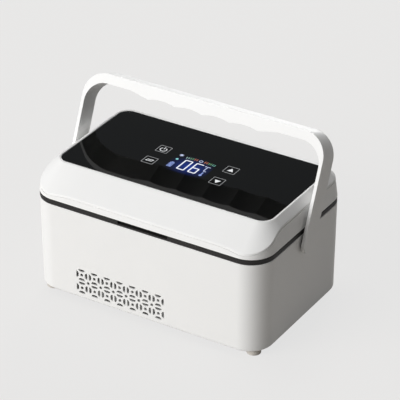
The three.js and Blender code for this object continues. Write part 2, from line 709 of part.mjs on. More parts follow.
function sensorBlock(clearance, z0, z1) {
  const [width, depth] = SENSOR_SIZE;
  return block(
    [SENSOR_X - width / 2 - clearance, -depth / 2 - clearance, z0],
    [SENSOR_X + width / 2 + clearance, depth / 2 + clearance, z1],
  );
}

// Cold chamber: liner with a flange, and the foam between it and the body
function chamberLiner() {
  const flange = prism(bodyRing(WALL + SLIP), FLANGE_BOTTOM, FLANGE_TOP);
  const tub = prism(chamberRing(LINER_WALL), LINER_BOTTOM, FLANGE_BOTTOM + SEAT);
  const space = loft([
    raised(chamberRing(-CHAMBER_FILLET), CHAMBER_FLOOR),
    raised(chamberRing(0), CHAMBER_FLOOR + CHAMBER_FILLET),
    raised(chamberRing(0), FLANGE_TOP + OVERCUT),
  ]);
  return joined([flange, tub]).subtract(space);
}

function baseFoam() {
  const pocketInner = ARM_INNER - STUD_REACH - OVERCUT;
  return cut(bodySpace(SLIP, FOAM_BOTTOM, FOAM_TOP), [
    prism(chamberRing(LINER_WALL + SLIP), LINER_BOTTOM - SEAT, FOAM_TOP + OVERCUT),
    coolerBlock(COLD_BLOCK_SIZE + 2 * SLIP, FOAM_BOTTOM - OVERCUT, LINER_BOTTOM),
    sensorBlock(SLIP, FOAM_BOTTOM - OVERCUT, LINER_BOTTOM),
    ...SIDES.map(([alongX]) =>
      rodX(PIVOT_POCKET, alongX * pocketInner, alongX * (pocketInner + PIVOT_POCKET_DEPTH), 0, PIVOT_Z)),
  ]);
}

// Seam band: a dark frame on the body's top edge that carries the hinges and magnets
function rimFrame() {
  const bottom = SEAM + SEAT;
  const skirtBottom = SEAM - BAND_SKIRT;
  const band = prism(bodyRing(BAND_INSET), bottom, BAND_TOP);
  const skirt = prism(bodyRing(WALL + SLIP), skirtBottom, bottom + SEAT);
  const notch = roundedRing({
    halfX: NOTCH_WIDTH / 2,
    halfY: NOTCH_DEPTH,
    corner: NOTCH_CORNER,
    centreY: -BODY_DEPTH / 2,
  });
  const webFront = HINGE_Y - HINGE_BARREL - HINGE_WEB;
  const lidHalf = HINGE_LID_LENGTH / 2 + HINGE_RELIEF;
  const barrels = hingePlaces.flatMap(({ x }) => SIDES.map(([way]) => {
    const near = x + way * lidHalf;
    const far = near + way * HINGE_BASE_LENGTH;
    const web = block(
      [Math.min(near, far), webFront, HINGE_Z - HINGE_BARREL],
      [Math.max(near, far), HINGE_Y, HINGE_Z + HINGE_PIN],
    );
    return rodX(HINGE_BARREL, near, far, HINGE_Y, HINGE_Z).add(web);
  }));
  const lidPockets = hingePlaces.map(({ x }) => block(
    [x - lidHalf, HINGE_Y - HINGE_BARREL - HINGE_RELIEF, skirtBottom - OVERCUT],
    [x + lidHalf, HINGE_Y + HINGE_BARREL + OVERCUT, BAND_TOP + OVERCUT],
  ));
  const bores = hingePlaces.map(({ x }) =>
    rodX(HINGE_PIN + SEAT, x - BODY_CORNER, x + BODY_CORNER, HINGE_Y, HINGE_Z));
  const magnetPockets = magnetPlaces.map(({ x, y }) =>
    postZ(MAGNET_RADIUS + SEAT, BAND_TOP - MAGNET_THICKNESS - 2 * SEAT, BAND_TOP + OVERCUT, x, y));
  return cut(cut(joined([band, skirt]), [
    prism(chamberRing(0), skirtBottom - OVERCUT, BAND_TOP + OVERCUT),
    prism(notch, BAND_TOP - NOTCH_HEIGHT, BAND_TOP + OVERCUT),
    ...lidPockets,
  ]).add(joined(barrels)), [...bores, ...magnetPockets]);
}

function hingePin(x) {
  const half = HINGE_LID_LENGTH / 2 + HINGE_RELIEF + HINGE_BASE_LENGTH;
  return rodX(HINGE_PIN, x - half, x + half, HINGE_Y, HINGE_Z);
}

// The lid's crease: low across the front, climbing round the corners to the sides
function creaseClimb(y) {
  const back = y + BODY_DEPTH / 2;
  return THREE.MathUtils.smoothstep(back, CREASE_RISE_FROM, CREASE_RISE_TO);
}

function creaseRing(inset, drop) {
  const plain = bodyRing(0, LID_SIDE_STEPS);
  const climbs = plain.map((point) => creaseClimb(point.y));
  return plain.map((_, index) => {
    const climb = climbs[index];
    const drawnIn = inset + THREE.MathUtils.lerp(CREASE_FRONT_INSET, CREASE_SIDE_INSET, climb);
    const point = bodyRing(drawnIn, LID_SIDE_STEPS)[index];
    const z = LID_BOTTOM + THREE.MathUtils.lerp(CREASE_FRONT, CREASE_SIDE, climb) - drop;
    return new THREE.Vector3(point.x, point.y, z);
  });
}

function lidForm() {
  return loft([
    raised(bodyRing(0, LID_SIDE_STEPS), LID_BOTTOM),
    creaseRing(0, 0),
    raised(glassRing(SLIP + LIP, LID_SIDE_STEPS), LIP_TOP),
  ]);
}

function lidSpace(clearance, drop) {
  return loft([
    raised(bodyRing(WALL + clearance, LID_SIDE_STEPS), LID_BOTTOM - OVERCUT),
    creaseRing(WALL + clearance, LID_SKIN + drop),
    raised(glassRing(CAVITY_OUTSET - clearance, LID_SIDE_STEPS), LEDGE_BOTTOM - drop),
  ]);
}

// A layer of the lid's hollow between two heights
function lidLayer(z0, z1) {
  const slab = block([-BODY_WIDTH / 2, -BODY_DEPTH / 2, z0], [BODY_WIDTH / 2, BODY_DEPTH / 2, z1]);
  return lidSpace(SLIP, FOAM_DROP).intersect(slab);
}

function lidShell() {
  const form = lidForm();
  const bosses = joined(lidScrewPlaces.map(({ x, y }) =>
    postZ(BOSS_RADIUS, LID_LINER_TOP + SEAT, LIP_TOP, x, y))).intersect(form);
  const lidHalf = HINGE_LID_LENGTH / 2;
  const barrels = hingePlaces.map(({ x }) => {
    const web = block(
      [x - lidHalf, HINGE_Y - HINGE_BARREL, HINGE_Z],
      [x + lidHalf, HINGE_Y, LID_BOTTOM + WALL],
    );
    return rodX(HINGE_BARREL, x - lidHalf, x + lidHalf, HINGE_Y, HINGE_Z).add(web);
  });
  const reach = lidHalf + 2 * HINGE_RELIEF + HINGE_BASE_LENGTH;
  const reliefs = hingePlaces.map(({ x }) =>
    rodX(HINGE_BARREL + HINGE_RELIEF, x - reach, x + reach, HINGE_Y, HINGE_Z));
  return cut(joined([cut(form, [lidSpace(0, 0), ...reliefs]), bosses, ...barrels]), [
    prism(glassRing(SLIP), LEDGE_TOP, LIP_TOP + OVERCUT),
    prism(glassRing(-GLASS_LEDGE), LEDGE_BOTTOM - SEAT, LIP_TOP + OVERCUT),
    ...lidScrewPlaces.map(({ x, y }) =>
      postZ(SCREW_RADIUS + SEAT, LID_BOTTOM, LID_LINER_TOP + LID_SCREW_LENGTH, x, y)),
    ...hingePlaces.map(({ x }) =>
      rodX(HINGE_PIN + SEAT, x - lidHalf - OVERCUT, x + lidHalf + OVERCUT, HINGE_Y, HINGE_Z)),
  ]);
}

function lidFoam() {
  const bossHoles = lidScrewPlaces.map(({ x, y }) =>
    postZ(BOSS_RADIUS + SLIP, LID_LINER_TOP, TOUCH_BOARD_BOTTOM, x, y));
  return cut(lidLayer(LID_LINER_TOP + SEAT, TOUCH_BOARD_BOTTOM - SEAT), bossHoles);
}

// Lining under the lid: a plate with a shallow plug that drops into the chamber's mouth
function lidLiner() {
  const sheet = lidLayer(LID_LINER_BOTTOM, LID_LINER_TOP);
  const plugBottom = LID_LINER_BOTTOM - LID_PLUG_DEPTH;
  const plug = prism(chamberRing(-LID_PLUG_CLEARANCE), plugBottom, LID_LINER_BOTTOM + SEAT);
  const pan = prism(
    chamberRing(-LID_PLUG_CLEARANCE - LID_PLUG_RIM),
    plugBottom - OVERCUT,
    plugBottom + LID_PLUG_PAN,
  );
  const below = LID_LINER_BOTTOM - OVERCUT;
  return cut(joined([sheet, plug]), [
    pan,
    gasketRing(SEAT, below, LID_LINER_BOTTOM + GASKET_GROOVE),
    ...magnetPlaces.map(({ x, y }) =>
      postZ(MAGNET_RADIUS + SEAT, below, LID_LINER_BOTTOM + MAGNET_THICKNESS + SEAT, x, y)),
    ...lidScrewPlaces.map(({ x, y }) =>
      postZ(SCREW_HEAD_RADIUS + SLIP, below, LID_LINER_BOTTOM + SCREW_HEAD + SEAT, x, y)),
    ...lidScrewPlaces.map(({ x, y }) => postZ(SCREW_RADIUS + SEAT, below, LID_LINER_TOP + OVERCUT, x, y)),
  ]);
}

function gasketRing(clearance, z0, z1) {
  const outer = prism(chamberRing(GASKET_MARGIN + GASKET_WIDTH + clearance), z0, z1);
  return outer.subtract(prism(chamberRing(GASKET_MARGIN - clearance), z0 - OVERCUT, z1 + OVERCUT));
}

// Carry handle: the bail's front outline, cut to its side outline, with a stud on each arm
function handleOutline() {
  const outer = ARM_INNER + HANDLE_ARM;
  const foot = -HANDLE_DEPTH / 2;
  const underside = HANDLE_TOP - HANDLE_BAR;
  const cusp = underside - GRIP_DROP;
  const gripHalf = (GRIP_GROOVES * GRIP_PITCH) / 2;
  const shape = new THREE.Shape();
  shape.moveTo(outer, foot);
  const turn = Math.PI / 2;
  const outerX = outer - HANDLE_OUTER_CORNER;
  const outerZ = HANDLE_TOP - HANDLE_OUTER_CORNER;
  shape.absarc(outerX, outerZ, HANDLE_OUTER_CORNER, 0, turn);
  shape.absarc(-outerX, outerZ, HANDLE_OUTER_CORNER, turn, 2 * turn);
  shape.lineTo(-outer, foot);
  shape.lineTo(-ARM_INNER, foot);
  const innerX = ARM_INNER - HANDLE_INNER_CORNER;
  const innerZ = underside - HANDLE_INNER_CORNER;
  shape.absarc(-innerX, innerZ, HANDLE_INNER_CORNER, 2 * turn, turn, true);
  shape.lineTo(-gripHalf - GRIP_RAMP, underside);
  for (let groove = 0; groove < GRIP_GROOVES; groove += 1) {
    const start = -gripHalf + groove * GRIP_PITCH;
    for (let step = groove ? 1 : 0; step <= GROOVE_STEPS; step += 1) {
      const along = step / GROOVE_STEPS;
      shape.lineTo(start + along * GRIP_PITCH, cusp + GRIP_GROOVE_DEPTH * 4 * along * (1 - along));
    }
  }
  shape.lineTo(gripHalf + GRIP_RAMP, underside);
  shape.absarc(innerX, innerZ, HANDLE_INNER_CORNER, turn, 0, true);
  shape.lineTo(ARM_INNER, foot);
  shape.closePath();
  return shape;
}

function handleBail() {
  const half = HANDLE_DEPTH / 2;
  const front = new THREE.ExtrudeGeometry(handleOutline(), {
    depth: HANDLE_DEPTH,
    bevelEnabled: false,
    curveSegments: CORNER_STEPS,
  });
  const bail = toSolid(front.rotateX(Math.PI / 2).translate(0, half, 0));
  const outer = ARM_INNER + HANDLE_ARM + OVERCUT;
  const side = joined([
    rodX(half, -outer, outer, 0, 0),
    block([-outer, -half, 0], [outer, half, HANDLE_TOP + OVERCUT]),
  ]);
  const studs = SIDES.map(([way]) => {
    const end = ARM_INNER - STUD_REACH;
    const neckAt = bushEnd() - SLIP - CLIP_THICKNESS - SEAT;
    const neckTo = bushEnd() - SEAT;
    const stud = rodX(STUD_RADIUS, way * end, way * (ARM_INNER + SEAT), 0, 0);
    const neck = rodX(STUD_RADIUS + OVERCUT, way * neckAt, way * neckTo, 0, 0)
      .subtract(rodX(STUD_NECK, way * end, way * ARM_INNER, 0, 0));
    return stud.subtract(neck);
  });
  return joined([bail.intersect(side), ...studs]);
}

// Pivot bushes in the body's side walls, and the clips inside that keep the studs in
const bushEnd = () => BODY_WIDTH / 2 - draftAt(PIVOT_Z) - WALL - SLIP;

function pivotBush(way) {
  const bore = STUD_RADIUS + SEAT;
  const sleeve = bore + BUSH_WALL;
  const flangeFrom = BODY_WIDTH / 2 + SEAT;
  const flangeTo = flangeFrom + BUSH_FLANGE_THICKNESS;
  const bush = turned([
    [bore, bushEnd()],
    [sleeve, bushEnd()],
    [sleeve, flangeFrom],
    [BUSH_FLANGE, flangeFrom],
    [BUSH_FLANGE, flangeTo],
    [bore, flangeTo],
    [bore, bushEnd()],
  ]);
  return bush.rotate(0, way * 90, 0).translate(0, 0, PIVOT_Z);
}

function pivotClip(way) {
  const from = bushEnd() - SLIP - CLIP_THICKNESS;
  const to = bushEnd() - SLIP;
  const mouth = block(
    [Math.min(way * from, way * to) - OVERCUT, -CLIP_MOUTH / 2, -CLIP_RADIUS - OVERCUT],
    [Math.max(way * from, way * to) + OVERCUT, CLIP_MOUTH / 2, 0],
  );
  return cut(rodX(CLIP_RADIUS, way * from, way * to, 0, 0), [
    rodX(STUD_NECK + SEAT, way * (from - OVERCUT), way * (to + OVERCUT), 0, 0),
    mouth,
  ]);
}

// Assembly: body, lid and handle, each a group of named pieces
const powerBoard = boardAt(POWER_BOARD_SIZE, POWER_BOARD_CENTRE, FLOOR_TOP + POWER_BOARD_LIFT);
const body = new THREE.Group();
body.add(
  piece('base_shell', baseShell(), WHITE_ABS),
  piece('bottom_cover', bottomCover(), WHITE_ABS),
  piece('fan_frame', fanFrame(), BLACK_PLASTIC),
  piece('fan_rotor', fanRotor(), BLACK_PLASTIC),
  piece('heat_sink', heatSink(), ALUMINIUM),
  piece('peltier_module', coolerBlock(PELTIER_SIZE, PELTIER_TOP - PELTIER_HEIGHT, PELTIER_TOP), CERAMIC),
  piece('cold_block', coolerBlock(COLD_BLOCK_SIZE, COLD_BLOCK_BOTTOM, COLD_BLOCK_TOP), ALUMINIUM),
  piece('battery_pack', batteryPack(), BATTERY_BLUE),
  piece('power_board', powerBoard, BOARD_GREEN),
  piece('dc_jack', dcJack(), BLACK_PLASTIC),
  piece('temp_sensor', sensorBlock(0, COLD_BLOCK_TOP - SENSOR_SIZE[2], COLD_BLOCK_TOP), BLACK_PLASTIC),
  piece('base_foam', baseFoam(), FOAM),
  piece('chamber_liner', chamberLiner(), LINER_WHITE),
  piece('rim_frame', rimFrame(), CHARCOAL),
);
footPlaces.forEach((place) => body.add(piece(`foot_${place.name}`, foot(place), RUBBER)));
coverScrewPlaces.forEach(({ name, x, y }) => {
  const fastener = piece(`cover_screw_${name}`, screw(COVER_SCREW_HEAD, COVER_SCREW_LENGTH), STEEL);
  fastener.position.set(x, y, FOOT_HEIGHT - SEAT - COVER_SCREW_HEAD);
  body.add(fastener);
});
magnetPlaces.forEach(({ side, x, y }) => {
  const top = BAND_TOP - SEAT;
  body.add(piece(`base_magnet_${side}`, postZ(MAGNET_RADIUS, top - MAGNET_THICKNESS, top, x, y), STEEL));
});
hingePlaces.forEach(({ side, x }) => body.add(piece(`hinge_pin_${side}`, hingePin(x), STEEL)));
SIDES.forEach(([way, side]) => body.add(piece(`pivot_bush_${side}`, pivotBush(way), BLACK_PLASTIC)));

const lid = new THREE.Group();
const underGlass = GLASS_BOTTOM - SEAT;
const onBoard = TOUCH_BOARD_TOP + SEAT;
const gasketTop = LID_LINER_BOTTOM + GASKET_GROOVE - SEAT;
const displayBlock = block(
  [DISPLAY_CENTRE[0] - DISPLAY_SIZE[0] / 2, DISPLAY_CENTRE[1] - DISPLAY_SIZE[1] / 2, onBoard],
  [DISPLAY_CENTRE[0] + DISPLAY_SIZE[0] / 2, DISPLAY_CENTRE[1] + DISPLAY_SIZE[1] / 2, underGlass],
);
lid.add(
  piece('lid_shell', lidShell(), WHITE_ABS),
  piece('glass_panel', prism(glassRing(0), GLASS_BOTTOM, GLASS_TOP), BLACK_GLASS),
  piece('lcd_module', displayBlock, BLACK_PLASTIC),
  piece('touch_board', boardAt(TOUCH_BOARD_SIZE, [0, DISPLAY_CENTRE[1]], TOUCH_BOARD_BOTTOM), BOARD_GREEN),
  piece('lid_foam', lidFoam(), FOAM),
  piece('lid_liner', lidLiner(), LINER_WHITE),
  piece('lid_gasket', gasketRing(0, gasketTop - GASKET_HEIGHT, gasketTop), CHARCOAL),
);
Object.entries(TOUCH_PADS).forEach(([key, [x, y]]) => {
  lid.add(piece(`touch_pad_${key}`, postZ(TOUCH_PAD_RADIUS, onBoard, underGlass, x, y), BLACK_PLASTIC));
});
magnetPlaces.forEach(({ side, x, y }) => {
  const top = LID_LINER_BOTTOM + MAGNET_THICKNESS;
  lid.add(piece(`lid_magnet_${side}`, postZ(MAGNET_RADIUS, LID_LINER_BOTTOM, top, x, y), STEEL));
});
lidScrewPlaces.forEach(({ name, x, y }) => {
  const fastener = piece(`lid_screw_${name}`, screw(SCREW_HEAD, LID_SCREW_LENGTH), STEEL);
  fastener.position.set(x, y, LID_LINER_BOTTOM);
  lid.add(fastener);
});

const handle = new THREE.Group();
handle.position.z = PIVOT_Z;
handle.rotation.x = -THREE.MathUtils.degToRad(HANDLE_LEAN);
handle.add(piece('handle', handleBail(), WHITE_ABS));
SIDES.forEach(([way, side]) => handle.add(piece(`pivot_clip_${side}`, pivotClip(way), STEEL)));

// The origin is under the middle of the whole case, hinge barrels included
const product = new THREE.Group();
product.position.y = -(HINGE_OFFSET + HINGE_BARREL) / 2;
product.add(body, lid, handle);

export default product;
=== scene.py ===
"""Dresses the frame of an insulin cooling case with its finished shells, panel, display and handle."""

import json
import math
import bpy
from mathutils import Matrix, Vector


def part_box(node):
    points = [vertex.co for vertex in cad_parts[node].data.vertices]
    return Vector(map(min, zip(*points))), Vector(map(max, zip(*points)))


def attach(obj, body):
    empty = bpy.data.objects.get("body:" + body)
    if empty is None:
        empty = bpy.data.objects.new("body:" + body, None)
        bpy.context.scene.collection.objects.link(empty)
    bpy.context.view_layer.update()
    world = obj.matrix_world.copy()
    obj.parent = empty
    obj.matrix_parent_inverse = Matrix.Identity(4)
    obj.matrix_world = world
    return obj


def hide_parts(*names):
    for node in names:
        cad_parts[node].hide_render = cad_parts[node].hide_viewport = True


bl_info = {
    "name": "Insulin cooling case",
    "version": (1, 0, 0),
    "blender": (4, 5, 0),
    "location": "3D View > Sidebar > Case",
    "description": "Models the visible pieces of a cooling case on its frame and lights it on a plain stage",
    "category": "Object",
}

import bmesh
import bpy
from mathutils import Vector

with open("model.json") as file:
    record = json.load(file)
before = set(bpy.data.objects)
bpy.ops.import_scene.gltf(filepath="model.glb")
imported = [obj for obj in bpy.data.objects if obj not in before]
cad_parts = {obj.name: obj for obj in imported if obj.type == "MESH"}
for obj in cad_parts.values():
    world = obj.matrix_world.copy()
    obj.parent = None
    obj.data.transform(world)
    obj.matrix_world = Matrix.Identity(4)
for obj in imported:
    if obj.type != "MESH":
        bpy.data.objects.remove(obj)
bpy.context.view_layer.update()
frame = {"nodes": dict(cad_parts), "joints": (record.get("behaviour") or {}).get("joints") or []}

MM = 0.001
NEAR = 0.01 * MM  # two places closer than this are the same place
SEARCH_END = 0.001 * MM  # where a search by halving stops
OVERCUT = 1 * MM  # how far a cutter runs past the face it opens
CORNER_STEPS = 16
FEW_STEPS = 6
ROUND_SIDES = 48
SMALL_SIDES = 24
EDGE_STEPS = 4
EDGE_LIMIT = 24  # degrees that faces meet at before their edge is rounded
SMOOTH_LIMIT = 32  # and before it is shaded as an edge

QUARTERS = ("front_left", "front_right", "rear_left", "rear_right")
SIDES = {"left": -1, "right": 1}


def linear(code):
    """An sRGB hex colour as linear red, green and blue."""
    parts = [int(code[at:at + 2], 16) / 255 for at in (1, 3, 5)]
    return tuple(part / 12.92 if part <= 0.04045 else ((part + 0.055) / 1.055) ** 2.4 for part in parts)


def length(name, description, millimetres):
    """A size that can be set in the sidebar."""
    return bpy.props.FloatProperty(
        name=name, description=description, default=millimetres * MM, min=0, unit="LENGTH", precision=4)


def tint(name, description, code):
    """A colour that can be set in the sidebar."""
    return bpy.props.FloatVectorProperty(
        name=name, description=description, default=linear(code), min=0, max=1, size=3, subtype="COLOR")


def pivot(name):
    """Where a joint of the frame turns."""
    return Vector(next(row["pos_m"] for row in frame["joints"] if row["name"] == name))


def middle_of(name):
    """The middle of a node."""
    low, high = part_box(name)
    return (low + high) / 2


def radius_of(name):
    """The radius of a round node that stands upright."""
    low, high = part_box(name)
    return (high.x - low.x) / 2


def spaced(count, pitch):
    """Places at an even pitch about zero."""
    return [(step - (count - 1) / 2) * pitch for step in range(count)]


class CaseSizes(bpy.types.PropertyGroup):
    """Sizes of the case's moulded forms."""
    body_corner: length("Body corner", "Radius of the body's upright corners", 22)
    body_draft: length("Body draft", "How far the walls draw in at the underside", 1.1)
    wall: length("Wall", "Thickness of the body's and the lid's walls", 2.4)
    floor: length("Floor", "Thickness of the body's floor", 2.6)
    band_height: length("Band height", "From the body's top edge to the lid's lower edge", 4.5)
    band_inset: length("Band inset", "How far the dark band stands back from the walls", 0.2)
    band_gap: length("Band gap", "Shadow line between the band and the lid", 0.5)
    notch_width: length("Notch width", "Width of the finger notch under the lid", 47)
    notch_depth: length("Notch depth", "How far the finger notch goes in", 7)
    notch_height: length("Notch height", "Height of the finger notch", 2.5)
    insulation: length("Insulation", "From the body's outside to the chamber", 21)
    chamber_corner: length("Chamber corner", "Radius of the chamber's corners", 12)
    chamber_fillet: length("Chamber fillet", "Radius between the chamber's floor and walls", 3)
    crease_front: length("Front crease", "Height of the lid's crease at the front", 7)
    crease_side: length("Side crease", "Height of the lid's crease along the sides", 17)
    lip: length("Lip", "Width of the bright lip round the glass", 1.7)
    glass_corner: length("Glass corner", "Radius of the glass panel's corners", 10)
    vent_pitch: length("Vent pitch", "Distance between the vent's cells", 12.4)
    handle_arm: length("Handle arm", "Thickness of the handle's arms", 2.8)
    handle_depth: length("Handle depth", "Depth of the handle from front to back", 18.8)
    handle_top: length("Handle top", "Pivot to the top of the handle", 88.2)
    handle_bar: length("Handle bar", "Thickness of the handle's bar beside its grooves", 8.2)
    grip_pitch: length("Grip pitch", "Distance between the handle's finger grooves", 26)
    grip_depth: length("Grip depth", "Depth of a finger groove", 1.9)
    key_width: length("Key width", "Width of a touch key's frame", 11.1)
    key_depth: length("Key depth", "Depth of a touch key's frame", 10.9)
    digit_height: length("Digit height", "Height of the display's digits", 16.6)
    digit_width: length("Digit width", "Width of the display's digits", 7.5)


class CaseColours(bpy.types.PropertyGroup):
    """Colours of the case's finishes."""
    shell: tint("Shell", "Body, lid and handle", "#f4f4f3")
    lining: tint("Lining", "Chamber and lid lining", "#e4e7e9")
    band: tint("Band", "Seam band and notch", "#1e1c1b")
    glass: tint("Glass", "Printed back of the glass panel", "#020303")
    print: tint("Print", "Touch keys", "#e8eaec")
    backlight: tint("Backlight", "Glow behind the digits", "#2460ff")
    rubber: tint("Rubber", "Feet", "#d3cec7")
    stage: tint("Stage", "Floor", "#a09a92")


def sizes():
    return bpy.context.scene.case_sizes


def colours():
    return bpy.context.scene.case_colours


class Outline:
    """A rounded rectangle seen from above."""

    def __init__(self, low, high, corner):
        self.middle = ((low[0] + high[0]) / 2, (low[1] + high[1]) / 2)
        self.half = ((high[0] - low[0]) / 2, (high[1] - low[1]) / 2)
        self.corner = corner

    def grown(self, by, corner=None):
        """The outline moved outwards, or inwards by a negative distance."""
        low = [middle - half - by for middle, half in zip(self.middle, self.half)]
        high = [middle + half + by for middle, half in zip(self.middle, self.half)]
        return Outline(low, high, self.corner + by if corner is None else corner)

    def carry(self, point, other):
        """Where a point on this outline lies on another one."""
        place = []
        for axis in (0, 1):
            along = point[axis] - self.middle[axis]
            flat = self.half[axis] - self.corner
            flat_there = other.half[axis] - other.corner
            if abs(along) <= flat:
                moved = along * flat_there / flat
            else:
                past = (abs(along) - flat) * other.corner / self.corner
                moved = math.copysign(flat_there + past, along)
            place.append(other.middle[axis] + moved)
        return place

    def way_out(self, point):
        """The direction straight out of the outline at a point on it."""
        way = []
        for axis in (0, 1):
            along = point[axis] - self.middle[axis]
            past = abs(along) - (self.half[axis] - self.corner)
            way.append(math.copysign(max(0, past), along))
        return Vector(way).normalized()

    def holds(self, point):
        """Whether a point lies inside the outline."""
        past = [abs(point[axis] - self.middle[axis]) - self.half[axis] + self.corner for axis in (0, 1)]
        return max(past) < self.corner and math.hypot(max(0, past[0]), max(0, past[1])) < self.corner

    def met(self, point, way):
        """Where a line from a point inside the outline meets it, found by halving."""
        near, far = 0, 2 * max(self.half)
        while far - near > SEARCH_END:
            middle = (near + far) / 2
            if self.holds(point + way * middle):
                near = middle
            else:
                far = middle
        return point + way * near


def body_outline(inset=0):
    return Outline(*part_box("base_shell"), sizes().body_corner).grown(-inset)


def chamber_outline(outset=0):
    return body_outline(sizes().insulation).grown(0, sizes().chamber_corner).grown(outset)


def glass_outline(outset=0):
    return Outline(*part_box("glass_panel"), sizes().glass_corner).grown(outset)


def seam():
    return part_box("base_shell")[1].z


def lid_bottom():
    return seam() + sizes().band_height


# Modelling steps


def start():
    """Leaves edit mode with nothing selected."""
    if bpy.context.object and bpy.context.object.mode != "OBJECT":
        bpy.ops.object.mode_set(mode="OBJECT")
    bpy.ops.object.select_all(action="DESELECT")


def only(piece):
    """Makes a piece the only one selected, and active."""
    start()
    piece.select_set(True)
    bpy.context.view_layer.objects.active = piece


def settle(piece):
    """Puts a piece's place, turn and scale into its mesh."""
    only(piece)
    bpy.ops.object.transform_apply(location=True, rotation=True, scale=True)
    return piece


def pick(kind, test):
    """Selects the vertices, edges or faces that pass a test."""
    bpy.ops.mesh.select_mode(type=kind)
    bpy.ops.mesh.select_all(action="DESELECT")
    data = bpy.context.object.data
    mesh = bmesh.from_edit_mesh(data)
    for item in {"VERT": mesh.verts, "EDGE": mesh.edges, "FACE": mesh.faces}[kind]:
        if test(item):
            item.select_set(True)
    mesh.select_flush_mode()
    bmesh.update_edit_mesh(data)


def select(kind, test):
    """Selects the vertices, edges or faces whose every corner passes a test of its place."""
    pick(kind, lambda item: all(test(corner.co) for corner in ([item] if kind == "VERT" else item.verts)))


def pick_along(axis, test=lambda co: True):
    """Selects the edges along an axis whose ends pass a test of their place."""
    along = "XYZ".index(axis)

    def runs_along(edge):
        first, second = [corner.co for corner in edge.verts]
        return abs(first[along] - second[along]) > edge.calc_length() - NEAR and test(first) and test(second)

    pick("EDGE", runs_along)


def bevel_along(axis, offset, segments, test=lambda co: True):
    """Rounds the edges along an axis whose ends pass a test of their place."""
    pick_along(axis, test)
    bpy.ops.mesh.bevel(offset=offset, segments=segments)


def step_face(thickness, move):
    """Insets the selected face and draws what is left of it in or out."""
    bpy.ops.mesh.inset(thickness=thickness)
    bpy.ops.mesh.extrude_region_move(TRANSFORM_OT_translate={"value": move})


def edit(piece):
    """Opens a piece in edit mode."""
    only(piece)
    bpy.ops.object.mode_set(mode="EDIT")
    return piece


def fresh(name, primitive, scale=(1, 1, 1), **options):
    """A new primitive at its size and place."""
    start()
    primitive(**options)
    piece = bpy.context.object
    piece.name = name
    piece.scale = scale
    return settle(piece)


def block(name, low, high):
    """A box between two corners, left in edit mode."""
    middle = [(a + b) / 2 for a, b in zip(low, high)]
    span = [b - a for a, b in zip(low, high)]
    return edit(fresh(name, bpy.ops.mesh.primitive_cube_add, span, size=1, location=middle))


def rod(name, radius, middle, depth, axis="Z", sides=ROUND_SIDES):
    """A round bar along an axis, left in edit mode."""
    turn = {"X": (0, math.pi / 2, 0), "Y": (math.pi / 2, 0, 0), "Z": (0, 0, 0)}[axis]
    return edit(fresh(name, bpy.ops.mesh.primitive_cylinder_add, vertices=sides, radius=radius, depth=depth,
                      location=middle, rotation=turn))


def sheet(name, outline, z, steps=CORNER_STEPS):
    """A flat sheet with round corners, left in edit mode and selected."""
    place = (*outline.middle, z)
    piece = edit(fresh(name, bpy.ops.mesh.primitive_plane_add, (*outline.half, 1), size=2, location=place))
    bpy.ops.mesh.select_mode(type="VERT")
    bpy.ops.mesh.select_all(action="SELECT")
    bpy.ops.mesh.bevel(affect="VERTICES", offset=outline.corner, segments=steps)
    bpy.ops.mesh.select_all(action="SELECT")
    return piece


def loft(name, rings, hollow=False, steps=CORNER_STEPS, front_cuts=0):
    """A skin drawn from ring to ring by extruding, each new ring fitted to its outline.

    A ring is an outline with its height, or a function that gives the place of a point of the first
    outline. The first ring is an outline, with a function after it if its points are to move too.
    A hollow loft closes on its first ring, and any other one ends in a face.
    """
    first, z, *moves = rings[0]
    piece = sheet(name, first, z, steps)
    if hollow:
        bpy.ops.mesh.delete(type="ONLY_FACE")
    if front_cuts:
        front = first.middle[1] - first.half[1]
        select("EDGE", lambda co: abs(co.y - front) < NEAR)
        bpy.ops.mesh.subdivide(number_cuts=front_cuts)
    mesh = bmesh.from_edit_mesh(piece.data)
    layer = mesh.verts.layers.float_vector.new("first_place")
    for corner in mesh.verts:
        corner[layer] = corner.co
    bmesh.update_edit_mesh(piece.data)
    bpy.ops.mesh.select_all(action="SELECT")
    for move in moves:
        fit_ring(piece, first, move)
    for ring in rings[1:]:
        bpy.ops.mesh.extrude_region_move()
        fit_ring(piece, first, ring)
    if hollow:
        bpy.ops.mesh.select_all(action="DESELECT")
        bpy.ops.mesh.select_mode(type="EDGE")
        bpy.ops.mesh.select_non_manifold(
            extend=False, use_wire=False, use_boundary=True, use_multi_face=False,
            use_non_contiguous=False, use_verts=False)
        bpy.ops.mesh.bridge_edge_loops()
    bpy.ops.mesh.select_all(action="SELECT")
    bpy.ops.mesh.normals_make_consistent(inside=False)
    start()
    piece.data.attributes.remove(piece.data.attributes["first_place"])
    return piece


def fit_ring(piece, first, ring):
    """Moves the selected ring to its outline, point by point."""
    mesh = bmesh.from_edit_mesh(piece.data)
    layer = mesh.verts.layers.float_vector["first_place"]
    for corner in mesh.verts:
        if corner.select:
            if callable(ring):
                corner.co = ring(corner[layer])
            else:
                outline, z = ring
                corner.co = (*first.carry(corner[layer], outline), z)
    bmesh.update_edit_mesh(piece.data)


def modify(piece, kind, **settings):
    """Adds a modifier, sets it and applies it."""
    only(piece)
    modifier = piece.modifiers.new(kind.lower(), kind)
    for key, value in settings.items():
        setattr(modifier, key, value)
    bpy.ops.object.modifier_apply(modifier=modifier.name)


def remove(piece):
    only(piece)
    bpy.ops.object.delete()


def join(name, pieces):
    """Several meshes as one piece."""
    start()
    for piece in pieces:
        piece.select_set(True)
    bpy.context.view_layer.objects.active = pieces[0]
    if len(pieces) > 1:
        bpy.ops.object.join()
    whole = bpy.context.object
    whole.name = name
    return whole


